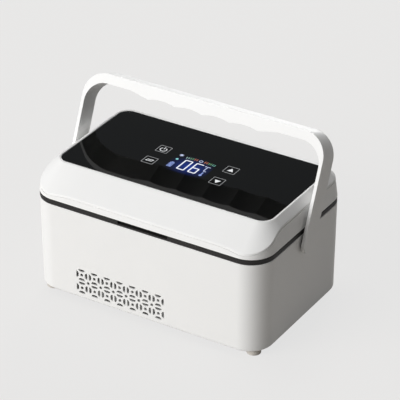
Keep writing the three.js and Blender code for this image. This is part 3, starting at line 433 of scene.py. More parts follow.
def combine(piece, other, operation):
    """Cuts another piece out of a piece, or adds it, and removes the other one."""
    modify(piece, "BOOLEAN", object=other, operation=operation, solver="MANIFOLD")
    if not piece.data.polygons:
        raise RuntimeError(f"{piece.name} came out empty")
    remove(other)


def cut(piece, *cutters):
    combine(piece, join("cutter", cutters), "DIFFERENCE")


def add(piece, *others):
    for other in others:
        combine(piece, other, "UNION")
    return piece


def round_edges(piece, width, segments=EDGE_STEPS, limit=EDGE_LIMIT):
    """Gives every edge sharper than a limit a small moulded radius."""
    modify(piece, "BEVEL", width=width, segments=segments, limit_method="ANGLE",
           angle_limit=math.radians(limit))


def smooth(piece):
    """Shades round faces smoothly and keeps flat ones flat."""
    only(piece)
    bpy.ops.object.shade_smooth_by_angle(angle=math.radians(SMOOTH_LIMIT))
    modify(piece, "WEIGHTED_NORMAL", keep_sharp=True)


def copied(piece, name, move):
    """A copy with a mesh of its own, moved by a distance."""
    only(piece)
    bpy.ops.object.duplicate()
    copy = bpy.context.object
    copy.name = name
    copy.location = move
    return settle(copy)


def dress(piece, material, body, slot, *nodes):
    """Gives a finished piece its material and its place on the frame."""
    piece.data.materials.clear()
    piece.data.materials.append(material)
    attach(piece, body)
    if nodes:
        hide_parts(*nodes)


def finished(piece, finish, body, slot, *nodes):
    """Ends an operator: smooths its piece, and gives it its material and its place on the frame."""
    smooth(piece)
    dress(piece, coat(finish), body, slot, *nodes)
    return {"FINISHED"}


# Materials

SOFT = 2.0  # levels of detail in noise
CRISP = 3.0
STREAKY = 4.0
DRIFT = 35  # millimetres between slow changes of tone
GLOSS_SPREAD = 0.05
LINE_TONES = (0.9, 1.08)  # of a drawn metal's dark and bright lines
LINE_GLOSS = (-0.06, 0.08)
BEAD = 3.2  # millimetres across a bead of foam
BEAD_JOINT = 0.12  # share of a bead that its joints take
BEAD_DEPTH = 0.15  # millimetres from a bead down to its joints
BEAD_TONES = ("#d9d4c6", "#f5f2e9")
FOAM_ROUGHNESS = 0.9
TRACKS = {"Color1": "#1d5637", "Color2": "#23633f", "Mortar": "#3d8a5c"}
TRACK_PITCH = 12  # millimetres
TRACK_WIDTH = 0.03  # share of the pitch
MASK_GRAIN = 0.8  # millimetres
MASK_GLOSS = (0.3, 0.45)
GLASS_IOR = 1.22
GLASS_ROUGHNESS = 0.04
WIPE = 28  # millimetres across the marks of wiping on the glass
WIPE_TONES = (0.8, 1.2)
WIPE_GLOSS = (0.015, 0.05)
PRINT_GRAIN = 1.5  # millimetres
PRINT_DETAIL = 1.0
PRINT_SPREAD = 0.08  # how unevenly print glows
PRINT_BODY = 0.1  # share of a print's colour that shows unlit


def feed(made, inputs):
    """Links or sets a node's inputs."""
    for socket, value in inputs.items():
        if isinstance(value, bpy.types.NodeSocket):
            made.id_data.links.new(value, made.inputs[socket])
        else:
            made.inputs[socket].default_value = value


def node(tree, kind, inputs=None, **settings):
    """Adds a node, sets it, and links or sets its inputs."""
    made = tree.nodes.new(kind)
    for key, value in settings.items():
        setattr(made, key, value)
    feed(made, inputs or {})
    return made


def per_mm(millimetres):
    """The texture scale that gives features of a size, on coordinates in metres."""
    return 1 / (millimetres * MM)


def noise(tree, place, scale, detail):
    """Soft noise, from 0 to 1."""
    made = node(tree, "ShaderNodeTexNoise", {"Vector": place, "Scale": scale, "Detail": detail})
    return made.outputs["Fac"]


def spread(tree, value, low, high):
    """A value from 0 to 1 carried to a range."""
    return node(tree, "ShaderNodeMapRange", {"Value": value, "To Min": low, "To Max": high}).outputs["Result"]


def blend(tree, value, first, second):
    """A mix of two colours."""
    made = node(tree, "ShaderNodeMix", {"Factor": value, "A": first, "B": second}, data_type="RGBA")
    return made.outputs["Result"]


def bump(tree, height, millimetres):
    """A normal that rises and falls with a height from 0 to 1."""
    made = node(tree, "ShaderNodeBump", {"Height": height, "Distance": millimetres * MM, "Strength": 1.0})
    return made.outputs["Normal"]


def shade(colour, factor=1):
    """A colour made lighter or darker, as a socket takes it."""
    return (*[min(1, part * factor) for part in colour], 1)


def new_material(name):
    """An empty material with its output, shader and object coordinates."""
    material = bpy.data.materials.new(name)
    material.use_nodes = True
    tree = material.node_tree
    tree.nodes.clear()
    shader = node(tree, "ShaderNodeBsdfPrincipled")
    node(tree, "ShaderNodeOutputMaterial", {"Surface": shader.outputs["BSDF"]})
    place = node(tree, "ShaderNodeTexCoord").outputs["Object"]
    return material, tree, shader, place


# Sizes and depths of grain in these tables are in millimetres

MOULDED = {
    # Satin-gloss moulded ABS: a clean white with a faint orange-peel sheen
    "white_abs": {"colour": "shell", "roughness": 0.47, "grain": 0.9, "depth": 0.006, "mottle": 0.012},
    # Fine-textured moulded ABS: cooler and duller than the outside
    "lining_abs": {"colour": "lining", "roughness": 0.48, "grain": 0.6, "depth": 0.012, "mottle": 0.02},
    # Spark-eroded moulded ABS: a dull, even charcoal
    "charcoal_abs": {
        "colour": "band", "roughness": 0.65, "grain": 0.5, "depth": 0.02, "mottle": 0.06, "ior": 1.4},
    # Glass-filled nylon: black, with a slightly streaky dull surface
    "black_nylon": {"colour": "#1c1c1d", "roughness": 0.52, "grain": 0.4, "depth": 0.015, "mottle": 0.15},
    # Moulded rubber: dull, with a dusty bloom
    "foot_rubber": {"colour": "rubber", "roughness": 0.78, "grain": 0.3, "depth": 0.02, "mottle": 0.06},
    # Foamed sealing rubber: black, dull and finely pored
    "gasket_rubber": {"colour": "#232323", "roughness": 0.85, "grain": 0.25, "depth": 0.04, "mottle": 0.12},
    # Conductive foam: dark grey and open-pored
    "pad_foam": {"colour": "#262629", "roughness": 0.9, "grain": 0.35, "depth": 0.08, "mottle": 0.15},
    # Sintered alumina: chalky white with a faint speckle
    "alumina_ceramic": {"colour": "#ebe8e1", "roughness": 0.6, "grain": 0.25, "depth": 0.01, "mottle": 0.05},
    # Shrunk PVC sleeve: glossy blue, slightly rippled
    "battery_sleeve": {"colour": "#2c5aa0", "roughness": 0.3, "grain": 4.0, "depth": 0.12, "mottle": 0.08},
}
BRUSHED = {
    # Zinc-plated steel: bright, with fine drawing lines and cloudy patches
    "plated_steel": {"code": "#c9ccd0", "roughness": 0.26, "grain": (2, 0.2, 0.2)},
    # Nickel-plated magnet: bright and nearly even
    "nickel": {"code": "#d2d1cc", "roughness": 0.18, "grain": (0.5, 0.5, 0.5)},
    # Bare extruded aluminium: die lines along the fins
    "extruded_aluminium": {"code": "#c3c6c9", "roughness": 0.36, "grain": (0.25, 30, 0.25)},
}


def moulded(name, colour, roughness, grain, depth, mottle, ior=1.5):
    """A moulded surface: grain of a size and depth in millimetres, with slow drifts of tone and gloss."""
    material, tree, shader, place = new_material(name)
    base = linear(colour) if colour.startswith("#") else getattr(colours(), colour)
    drift = noise(tree, place, per_mm(DRIFT), SOFT)
    fine = noise(tree, place, per_mm(grain), CRISP)
    feed(shader, {
        "Base Color": blend(tree, drift, shade(base, 1 - mottle), shade(base, 1 + mottle)),
        "Roughness": spread(tree, fine, roughness - GLOSS_SPREAD, roughness + GLOSS_SPREAD),
        "Normal": bump(tree, fine, depth),
        "IOR": ior,
    })
    return material


def brushed(name, code, roughness, grain):
    """Bare or plated metal with lines drawn out along one axis, by the grain's size along each."""
    material, tree, shader, place = new_material(name)
    scale = [per_mm(size) for size in grain]
    stretched = node(tree, "ShaderNodeMapping", {"Vector": place, "Scale": scale}).outputs["Vector"]
    lines = noise(tree, stretched, 1.0, CRISP)
    feed(shader, {
        "Base Color": blend(tree, lines, *[shade(linear(code), tone) for tone in LINE_TONES]),
        "Roughness": spread(tree, lines, *[roughness + change for change in LINE_GLOSS]),
        "Metallic": 1.0,
    })
    return material


def insulating_foam(name):
    # Expanded polystyrene: pressed beads with thin dark joints
    material, tree, shader, place = new_material(name)
    beads = node(tree, "ShaderNodeTexVoronoi", {
        "Vector": place, "Scale": per_mm(BEAD)}, feature="DISTANCE_TO_EDGE")
    lines = node(tree, "ShaderNodeMapRange", {
        "Value": beads.outputs["Distance"], "From Max": BEAD_JOINT}).outputs["Result"]
    feed(shader, {
        "Base Color": blend(tree, lines, *[shade(linear(code)) for code in BEAD_TONES]),
        "Roughness": FOAM_ROUGHNESS,
        "Normal": bump(tree, lines, BEAD_DEPTH),
    })
    return material


def solder_mask(name):
    # Solder mask over copper: green, with paler tracks under it
    material, tree, shader, place = new_material(name)
    tracks = node(tree, "ShaderNodeTexBrick", {
        "Vector": place,
        "Scale": per_mm(TRACK_PITCH),
        "Mortar Size": TRACK_WIDTH,
        **{socket: shade(linear(code)) for socket, code in TRACKS.items()},
    })
    feed(shader, {
        "Base Color": tracks.outputs["Color"],
        "Roughness": spread(tree, noise(tree, place, per_mm(MASK_GRAIN), SOFT), *MASK_GLOSS),
    })
    return material


def black_glass(name):
    # Soda-lime glass printed black behind, with a coat against glare: deep black under clean, dim
    # reflections, so its IOR is set below that of bare glass
    material, tree, shader, place = new_material(name)
    wipe = noise(tree, place, per_mm(WIPE), STREAKY)
    feed(shader, {
        "Base Color": blend(tree, wipe, *[shade(colours().glass, tone) for tone in WIPE_TONES]),
        "Roughness": spread(tree, wipe, *WIPE_GLOSS),
        "IOR": GLASS_IOR,
    })
    return material


LAYERED = {"insulating_foam": insulating_foam, "solder_mask": solder_mask, "black_glass": black_glass}
COATS = {}


def coat(name):
    """A material by its name, made once."""
    if name not in COATS:
        if name in MOULDED:
            COATS[name] = moulded(name, **MOULDED[name])
        elif name in BRUSHED:
            COATS[name] = brushed(name, **BRUSHED[name])
        else:
            COATS[name] = LAYERED[name](name)
    return COATS[name]


def light_up(shader, strength, colour, body):
    """Makes a colour glow under the glass's own gloss."""
    feed(shader, {
        "Emission Strength": strength,
        "Emission Color": shade(colour),
        "Base Color": body,
        "Roughness": GLASS_ROUGHNESS,
        "IOR": GLASS_IOR,
    })


def lit_print(name, colour, strength):
    # Clear print in the glass: light shines through it a little unevenly
    material, tree, shader, place = new_material(name)
    uneven = noise(tree, place, per_mm(PRINT_GRAIN), PRINT_DETAIL)
    change = strength * PRINT_SPREAD
    level = spread(tree, uneven, strength - change, strength + change)
    light_up(shader, level, colour, shade(colour, PRINT_BODY))
    return material


# Stage

TARGET = Vector((11.42, -1.55, 86.65)) * MM
CAMERA_PLACE = Vector((888.11, -1429.94, 1053.34)) * MM
CAMERA_LENS = 212.86
CAMERA_FAR = 100
WORLD_LEVEL = 0.175
WHITE = (1, 1, 1, 1)
FLOOR_SIZE = 40
FLOOR_GRAIN = 3  # millimetres
FLOOR_MOTTLE = 0.02
FLOOR_ROUGHNESS = 0.9
FLOOR_GLOW = 0.73  # share of plain white that the floor shows to the eye
LAMPS = {
    "key_lamp": {"place": (-1.74, -3.21, 1.46), "size": 3.0, "watts": 146, "tint": "#ffffff"},
    "top_lamp": {"place": (-0.7, 0.25, 2.25), "size": 1.2, "watts": 10, "tint": "#ffffff"},
    "back_lamp": {"place": (-0.8, 2.4, 0.55), "size": 0.8, "watts": 24, "tint": "#ffffff"},
    "glass_sheen": {"place": (-0.95, 1.56, 1.16), "size": 0.9, "watts": 0.4, "tint": "#eef8ff"},
}


class CASE_OT_stage(bpy.types.Operator):
    """Camera, floor, lamps and world."""
    bl_idname = "case.stage"
    bl_label = "Stage"

    def execute(self, context):
        start()
        bpy.ops.object.camera_add(location=CAMERA_PLACE, rotation=self.aim(CAMERA_PLACE))
        context.scene.camera = context.object
        context.object.data.lens = CAMERA_LENS
        context.object.data.clip_end = CAMERA_FAR
        for name, lamp in LAMPS.items():
            bpy.ops.object.light_add(type="AREA", location=lamp["place"], rotation=self.aim(lamp["place"]))
            context.object.name = name
            context.object.data.size = lamp["size"]
            context.object.data.energy = lamp["watts"]
            context.object.data.color = linear(lamp["tint"])
        bpy.ops.mesh.primitive_plane_add(size=FLOOR_SIZE)
        floor = context.object
        floor.name = "floor"
        floor.data.materials.append(self.floor_material())
        world = bpy.data.worlds.new("studio")
        world.use_nodes = True
        world.node_tree.nodes.clear()
        sky = node(world.node_tree, "ShaderNodeBackground", {"Color": WHITE, "Strength": WORLD_LEVEL})
        node(world.node_tree, "ShaderNodeOutputWorld", {"Surface": sky.outputs["Background"]})
        context.scene.world = world
        context.scene.view_settings.view_transform = "Standard"
        return {"FINISHED"}

    def aim(self, place):
        """The turn that points a camera or lamp at the target."""
        return (TARGET - Vector(place)).to_track_quat("-Z", "Y").to_euler()

    def floor_material(self):
        # Painted board: matt, shown as an even pale grey to the eye and in reflections
        material, tree, shader, place = new_material("painted_board")
        paint = colours().stage
        speck = noise(tree, place, per_mm(FLOOR_GRAIN), SOFT)
        feed(shader, {
            "Base Color": blend(tree, speck, shade(paint, 1 - FLOOR_MOTTLE), shade(paint, 1 + FLOOR_MOTTLE)),
            "Roughness": FLOOR_ROUGHNESS,
        })
        rays = node(tree, "ShaderNodeLightPath").outputs
        seen = rays["Is Camera Ray"]
        for kind in ("Is Glossy Ray", "Is Transmission Ray"):
            either = node(tree, "ShaderNodeMath", {0: seen, 1: rays[kind]}, operation="MAXIMUM")
            seen = either.outputs["Value"]
        share = node(tree, "ShaderNodeMath", {0: seen, 1: FLOOR_GLOW}, operation="MULTIPLY")
        white = node(tree, "ShaderNodeEmission", {"Color": WHITE, "Strength": 1.0})
        shown = node(tree, "ShaderNodeMixShader", {
            0: share.outputs["Value"], 1: shader.outputs["BSDF"], 2: white.outputs["Emission"]})
        output = next(item for item in tree.nodes if item.type == "OUTPUT_MATERIAL")
        feed(output, {"Surface": shown.outputs["Shader"]})
        return material


# Pieces

CARRIED_OVER = {
    "black_nylon": (
        "fan_frame", "fan_rotor", "temp_sensor", "pivot_bush_left", "pivot_bush_right", "lcd_module"),
    "extruded_aluminium": ("heat_sink", "cold_block"),
    "alumina_ceramic": ("peltier_module",),
    "battery_sleeve": ("battery_pack",),
    "solder_mask": ("power_board", "touch_board"),
    "insulating_foam": ("base_foam", "lid_foam"),
    "plated_steel": ("hinge_pin_left", "hinge_pin_right", "pivot_clip_left", "pivot_clip_right"),
    "pad_foam": ("touch_pad_power", "touch_pad_mode", "touch_pad_up", "touch_pad_down"),
}


class CASE_OT_inner_pieces(bpy.types.Operator):
    """Finishes of the pieces that keep the frame's own shape."""
    bl_idname = "case.inner_pieces"
    bl_label = "Inner pieces"

    def execute(self, context):
        for name, nodes in CARRIED_OVER.items():
            for piece in nodes:
                for slot in frame["nodes"][piece].material_slots:
                    slot.material = coat(name)
        return {"FINISHED"}


VENT_COLUMNS = 7
VENT_ROWS = 2
VENT_HEIGHT = 16.3 * MM  # centre of the vent above the underside
VENT_SHIFT = -0.9 * MM  # and beside the fan's centre
GRILLE_WALL = 1 * MM  # the wall is thinner behind the vent
GRILLE_MARGIN = 1.2 * MM
PETALS = 4
PETAL_LENGTH = 6.4 * MM
PETAL_REACH = 5.1 * MM  # cell centre to a petal's outer edge
PETAL_BULGE = 2 * MM
PETAL_BOW = 0.3 * MM
PETAL_FULLNESS = 4  # how squarely a petal fills its corners
DOT_RADIUS = 1.4 * MM
SLOT_COUNT = 9
SLOT_PITCH = 8 * MM
SLOT_WIDTH = 3 * MM
SLOT_HEIGHT = 18 * MM
SLOT_BOTTOM = 6 * MM
SLOT_ROUND = 0.98  # share of a slot's half width that its ends are rounded by
UNDERSIDE_CHAMFER = 1.2 * MM
COVER_CORNER = 6 * MM
COVER_LEDGE = 5 * MM
COVER_SLIP = 0.3 * MM
STEM_HOLE = 2.8 * MM
BUSH_HOLE = 5.6 * MM
SHELL_EDGE = 0.5 * MM
BAND_REVEAL = 0.4 * MM


class CASE_OT_body(bpy.types.Operator):
    """Body shell with its front vent, rear slots and underside opening."""
    bl_idname = "case.body"
    bl_label = "Body shell"

    def execute(self, context):
        size = sizes()
        low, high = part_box("base_shell")
        cover_low, cover_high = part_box("bottom_cover")
        cover = Outline(cover_low, cover_high, COVER_CORNER)
        ledge = cover.grown(-COVER_LEDGE, COVER_CORNER)
        opening = cover.grown(COVER_SLIP, COVER_CORNER)
        rebate = cover_high.z + COVER_SLIP
        floor_top = low.z + size.floor
        rim = high.z - BAND_REVEAL
        shell = loft("body_shell", [
            (body_outline(size.body_draft + UNDERSIDE_CHAMFER), low.z),
            (body_outline(size.body_draft), low.z + UNDERSIDE_CHAMFER),
            (body_outline(), rim),
            (body_outline(size.wall), rim),
            (body_outline(size.wall + size.body_draft), floor_top),
            (ledge, floor_top),
            (ledge, rebate),
            (opening, rebate),
            (opening, low.z),
        ], hollow=True)
        round_edges(shell, SHELL_EDGE)
        vent = pivot("fan_spin") + Vector((VENT_SHIFT, 0, 0))
        vent.z = low.z + VENT_HEIGHT
        cut(shell, self.grille_pocket(low, vent))
        cutters = self.vent_cutters(low, vent) + self.slot_cutters(low, high) + self.hole_cutters(low, high)
        cut(shell, *cutters)
        return finished(shell, "white_abs", "base", "white_abs", "base_shell")

    def grille_pocket(self, low, vent):
        """The hollow behind the vent that leaves its bars thin."""
        pitch = sizes().vent_pitch
        half_x = (VENT_COLUMNS - 1) / 2 * pitch + PETAL_REACH + GRILLE_MARGIN
        half_z = (VENT_ROWS - 1) / 2 * pitch + PETAL_REACH + GRILLE_MARGIN
        front = low.y + sizes().body_draft + GRILLE_WALL
        return block("pocket", (vent.x - half_x, front, vent.z - half_z),
                     (vent.x + half_x, front + sizes().wall + OVERCUT, vent.z + half_z))

    def vent_cutters(self, low, vent):
        pitch = sizes().vent_pitch
        through = sizes().wall + sizes().body_draft + 2 * OVERCUT
        middle = low.y + through / 2 - OVERCUT
        petals = [self.petal(turn, middle, through) for turn in range(PETALS)]
        columns = spaced(VENT_COLUMNS, pitch)
        rows = spaced(VENT_ROWS, pitch)
        cutters = []
        for row in rows:
            for column in columns:
                x = vent.x + column
                z = vent.z + row
                cutters += [copied(petal, "petal", (x, 0, z)) for petal in petals]
                cutters.append(rod("dot", DOT_RADIUS, (x, middle, z), through, "Y"))
                if row < rows[-1] and column < columns[-1]:
                    between = (x + pitch / 2, middle, z + pitch / 2)
                    cutters.append(rod("dot", DOT_RADIUS, between, through, "Y"))
        for petal in petals:
            remove(petal)
        return cutters

    def petal(self, turn, middle, through):
        """One petal of a cell: a round bar flattened to a straight outer edge and a bulging inner one."""
        half = PETAL_LENGTH / 2
        petal = rod("petal", half, (0, middle, 0), through, "Y", SMALL_SIDES)
        mesh = bmesh.from_edit_mesh(petal.data)
        for corner in mesh.verts:
            bow = PETAL_BOW if corner.co.z > 0 else -PETAL_BULGE
            corner.co.z = PETAL_REACH + bow * (1 - (corner.co.x / half) ** PETAL_FULLNESS)
        bmesh.update_edit_mesh(petal.data)
        bpy.ops.mesh.remove_doubles(threshold=NEAR)
        start()
        petal.rotation_euler.y = turn * 2 * math.pi / PETALS
        return settle(petal)

    def slot_cutters(self, low, high):
        bottom = low.z + SLOT_BOTTOM
        inside = high.y - sizes().wall - sizes().body_draft - OVERCUT
        half = SLOT_WIDTH / 2
        cutters = []
        for along in spaced(SLOT_COUNT, SLOT_PITCH):
            x = pivot("fan_spin").x + along
            cutters.append(block(
                "slot", (x - half, inside, bottom), (x + half, high.y + OVERCUT, bottom + SLOT_HEIGHT)))
            bevel_along("Y", half * SLOT_ROUND, FEW_STEPS)
        return cutters

    def hole_cutters(self, low, high):
        jack = middle_of("dc_jack")
        through = sizes().wall + 4 * OVERCUT
        cutters = [
            rod("bush_hole", BUSH_HOLE, pivot("handle_swing"), high.x - low.x + OVERCUT, "X"),
            rod("inlet_hole", INLET_NOSE + COVER_SLIP, (jack.x, high.y, jack.z), 2 * through, "Y"),
        ]
        for quarter in QUARTERS:
            foot = middle_of(f"foot_{quarter}")
            cutters.append(rod("stem_hole", STEM_HOLE, (foot.x, foot.y, low.z), 2 * through))
        return cutters


INLET_NOSE = 4.5 * MM
INLET_BORE = 3.1 * MM
INLET_DEPTH = 9.5 * MM
INLET_PIN = 1 * MM
INLET_PIN_DROP = 1 * MM  # the pin ends this far inside the mouth
INLET_BLOCK = 13 * MM
INLET_EDGE = 0.25 * MM


class CASE_OT_inlet(bpy.types.Operator):
    """DC inlet in the back wall: a nose with a bore and a centre pin, on its block."""
    bl_idname = "case.inlet"
    bl_label = "DC inlet"

    def execute(self, context):
        low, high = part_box("dc_jack")
        middle = (low + high) / 2
        nose_middle = (middle.x, (low.y + INLET_BLOCK + high.y) / 2, middle.z)
        nose = rod("dc_inlet", INLET_NOSE, nose_middle, high.y - low.y - INLET_BLOCK + OVERCUT, "Y")
        select("FACE", lambda co: co.y > high.y - 2 * OVERCUT)
        step_face(INLET_NOSE - INLET_BORE, (0, -INLET_DEPTH, 0))
        step_face(INLET_BORE - INLET_PIN, (0, INLET_DEPTH - INLET_PIN_DROP, 0))
        body = block("inlet_block", low, (high.x, low.y + INLET_BLOCK, high.z))
        inlet = join("dc_inlet", [nose, body])
        round_edges(inlet, INLET_EDGE, segments=2)
        return finished(inlet, "black_nylon", "base", "black_plastic", "dc_jack")


def deal_out(model, kind, name, finish, body, slot):
    """Puts a copy of a finished model in the place of each node of a kind, and removes the model."""
    smooth(model)
    first = middle_of(f"{kind}_{QUARTERS[0]}")
    for quarter in QUARTERS:
        move = (middle_of(f"{kind}_{quarter}") - first) * Vector((1, 1, 0))
        piece = copied(model, f"{name}_{quarter}", move)
        dress(piece, coat(finish), body, slot, f"{kind}_{quarter}")
    remove(model)


FOOT_EDGE = 0.4 * MM
FOOT_RECESS = 2 * MM
FOOT_RECESS_DEPTH = 0.5 * MM
FOOT_STEM = 2.5 * MM
FOOT_SLIP = 0.2 * MM


class CASE_OT_feet(bpy.types.Operator):
    """Four round feet, each with a stem through the floor and a shallow recess below."""
    bl_idname = "case.feet"
    bl_label = "Feet"

    def execute(self, context):
        first = f"foot_{QUARTERS[0]}"
        middle = middle_of(first)
        radius = radius_of(first)
        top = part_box("base_shell")[0].z - FOOT_SLIP
        model = rod("foot", radius, (middle.x, middle.y, top / 2), top)
        select("FACE", lambda co: co.z > top - NEAR)
        step_face(radius - FOOT_STEM, (0, 0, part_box(first)[1].z - top))
        select("FACE", lambda co: co.z < NEAR)
        step_face(FOOT_RECESS, (0, 0, FOOT_RECESS_DEPTH))
        round_edges(model, FOOT_EDGE)
        deal_out(model, "foot", "foot_pad", "foot_rubber", "base", "foot_rubber")
        return {"FINISHED"}


INTAKE_SLOTS = 9
INTAKE_PITCH = 5.6 * MM
INTAKE_SLOT = 3 * MM
INTAKE_CORNER = 1.44 * MM  # just under half a slot's width
INTAKE_REACH = 26.5 * MM
COVER_HOLE = 1.5 * MM
THIN_EDGE = 0.3 * MM


class CASE_OT_bottom_cover(bpy.types.Operator):
    """Cover under the fan, with a round field of intake slots."""
    bl_idname = "case.bottom_cover"
    bl_label = "Bottom cover"

    def execute(self, context):
        low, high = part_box("bottom_cover")
        outline = Outline(low, high, COVER_CORNER)
        cover = loft("underside_cover", [(outline, low.z), (outline, high.z)])
        fan = pivot("fan_spin")
        cutters = []
        for offset in spaced(INTAKE_SLOTS, INTAKE_PITCH):
            half = Vector((INTAKE_SLOT / 2, math.sqrt(INTAKE_REACH ** 2 - offset ** 2)))
            middle = Vector((fan.x + offset, fan.y))
            slot = Outline(middle - half, middle + half, INTAKE_CORNER)
            cutters.append(loft("slot", [(slot, low.z - OVERCUT), (slot, high.z + OVERCUT)], steps=FEW_STEPS))
        for quarter in QUARTERS:
            screw = middle_of(f"cover_screw_{quarter}")
            place = (screw.x, screw.y, high.z)
            cutters.append(rod("hole", COVER_HOLE, place, 6 * OVERCUT, sides=SMALL_SIDES))
        round_edges(cover, THIN_EDGE)
        cut(cover, *cutters)
        return finished(cover, "white_abs", "base", "white_abs", "bottom_cover")


SCREW_HEADS = {"cover_screw": (1.5 * MM, "base"), "lid_screw": (1.1 * MM, "lid")}
SCREW_SHANK = 1.2 * MM
SCREW_SIDES = 32
SCREW_EDGE = 0.35 * MM
RECESS_WIDTH = 0.7 * MM
RECESS_LENGTH = 3 * MM
RECESS_DEPTH = 0.7 * MM


class CASE_OT_screws(bpy.types.Operator):
    """Pan-head screws with cross recesses, under the cover and under the lid's lining."""
    bl_idname = "case.screws"
    bl_label = "Screws"

    def execute(self, context):
        for kind, (head, body) in SCREW_HEADS.items():
            deal_out(self.screw(kind, head), kind, f"{kind}_head", "plated_steel", body, "steel")
        return {"FINISHED"}

    def screw(self, kind, head):
        """One screw of a kind, by the height of its head."""
        first = f"{kind}_{QUARTERS[0]}"
        low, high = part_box(first)
        middle = middle_of(first)
        radius = radius_of(first)
        model = rod("screw", radius, (middle.x, middle.y, low.z + head / 2), head, sides=SCREW_SIDES)
        select("FACE", lambda co: co.z > low.z + head - NEAR)
        step_face(radius - SCREW_SHANK, (0, 0, high.z - low.z - head))
        round_edges(model, SCREW_EDGE, segments=3)
        for along_x, along_y in ((RECESS_LENGTH, RECESS_WIDTH), (RECESS_WIDTH, RECESS_LENGTH)):
            cut(model, block("recess", (middle.x - along_x / 2, middle.y - along_y / 2, low.z - OVERCUT),
                             (middle.x + along_x / 2, middle.y + along_y / 2, low.z + RECESS_DEPTH)))
        return model


class CASE_OT_magnets(bpy.types.Operator):
    """Disc magnets in the band and in the lid's lining."""
    bl_idname = "case.magnets"
    bl_label = "Magnets"

    def execute(self, context):
        for body in ("base", "lid"):
            for side in SIDES:
                name = f"{body}_magnet_{side}"
                low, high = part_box(name)
                magnet = rod(f"{body}_magnet_disc_{side}", radius_of(name), middle_of(name), high.z - low.z)
                round_edges(magnet, THIN_EDGE)
                finished(magnet, "nickel", body, "steel", name)
        return {"FINISHED"}


BAND_SKIRT = 0.9 * MM
BAND_SEAT = 0.2 * MM
SKIRT_INSET = 2.7 * MM
NOTCH_CORNER = 5 * MM
BAND_EDGE = 0.35 * MM
HINGE_BARREL = 2 * MM
HINGE_SPACING = 120 * MM
HINGE_LID_LENGTH = 14 * MM
HINGE_BASE_LENGTH = 7 * MM
HINGE_RELIEF = 0.4 * MM
HINGE_WEB = 2.6 * MM
WEB_REACH = 1.96 * MM  # a web ends just inside its barrel's skin
MAGNET_SLIP = 0.2 * MM


def pocket(name, slip, mouth, depth):
    """A cutter that lets a round node into a face from its mouth."""
    middle = middle_of(name)
    return rod("pocket", radius_of(name) + slip, (middle.x, middle.y, mouth), 2 * depth)


def knuckle(x0, x1, web_low, web_high):
    """A hinge barrel with the web that ties it to its piece."""
    axis = pivot("lid_hinge")
    barrel = rod("barrel", HINGE_BARREL, ((x0 + x1) / 2, axis.y, axis.z), x1 - x0, "X")
    return add(barrel, block("web", (x0, *web_low), (x1, *web_high)))


class CASE_OT_seam_band(bpy.types.Operator):
    """Dark band under the lid, with its finger notch, magnet pockets and hinge barrels."""
    bl_idname = "case.seam_band"
    bl_label = "Seam band"

    def execute(self, context):
        size = sizes()
        bottom = seam() + BAND_SEAT - BAND_REVEAL
        top = lid_bottom() - size.band_gap
        skirt = seam() - BAND_SKIRT
        axis = pivot("lid_hinge")
        band = loft("seam_band", [
            (body_outline(size.band_inset), bottom),
            (body_outline(size.band_inset), top),
            (chamber_outline(), top),
            (chamber_outline(), skirt),
            (body_outline(SKIRT_INSET), skirt),
            (body_outline(SKIRT_INSET), bottom),
        ], hollow=True)
        round_edges(band, BAND_EDGE)
        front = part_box("base_shell")[0].y
        notch = Outline((-size.notch_width / 2, front - size.notch_depth),
                        (size.notch_width / 2, front + size.notch_depth), NOTCH_CORNER)
        cutters = [loft("notch", [(notch, top - size.notch_height), (notch, top + OVERCUT)])]
        half = HINGE_LID_LENGTH / 2 + HINGE_RELIEF
        for side, way in SIDES.items():
            x = way * HINGE_SPACING / 2
            cutters.append(block("pocket", (x - half, axis.y - HINGE_BARREL - HINGE_RELIEF, skirt - OVERCUT),
                                 (x + half, axis.y + HINGE_BARREL + OVERCUT, top + OVERCUT)))
            magnet = f"base_magnet_{side}"
            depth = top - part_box(magnet)[0].z + MAGNET_SLIP
            cutters.append(pocket(magnet, MAGNET_SLIP, top, depth))
        cut(band, *cutters)
        web_low = (axis.y - HINGE_BARREL - HINGE_WEB, axis.z - WEB_REACH)
        web_high = (axis.y, axis.z + HINGE_BARREL / 2)
        barrels = []
        for way in SIDES.values():
            for hand in SIDES.values():
                near = way * HINGE_SPACING / 2 + hand * half
                ends = sorted((near, near + hand * HINGE_BASE_LENGTH))
                barrels.append(knuckle(*ends, web_low, web_high))
        add(band, *barrels)
        return finished(band, "charcoal_abs", "base", "charcoal_plastic", "rim_frame")


FILLET_STEPS = 5
TUB_EDGE_LIMIT = 40
LINER_WALL = 1.2 * MM
LINER_FLANGE = 1.2 * MM


class CASE_OT_chamber(bpy.types.Operator):
    """Cold chamber: a tub with a round-edged floor and a flange that rests on the foam."""
    bl_idname = "case.chamber"
    bl_label = "Chamber"

    def execute(self, context):
        low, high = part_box("chamber_liner")
        fillet = sizes().chamber_fillet
        floor_top = low.z + LINER_WALL
        rings = [
            (chamber_outline(LINER_WALL), low.z),
            (chamber_outline(LINER_WALL), high.z - LINER_FLANGE),
            (body_outline(SKIRT_INSET), high.z - LINER_FLANGE),
            (body_outline(SKIRT_INSET), high.z),
            (chamber_outline(), high.z),
        ]
        for step in range(FILLET_STEPS + 1):
            angle = math.pi / 2 * step / FILLET_STEPS
            inset = fillet * (1 - math.cos(angle))
            rings.append((chamber_outline(-inset), floor_top + fillet * (1 - math.sin(angle))))
        tub = loft("chamber_tub", rings)
        round_edges(tub, THIN_EDGE, limit=TUB_EDGE_LIMIT)
        return finished(tub, "lining_abs", "base", "liner_plastic", "chamber_liner")


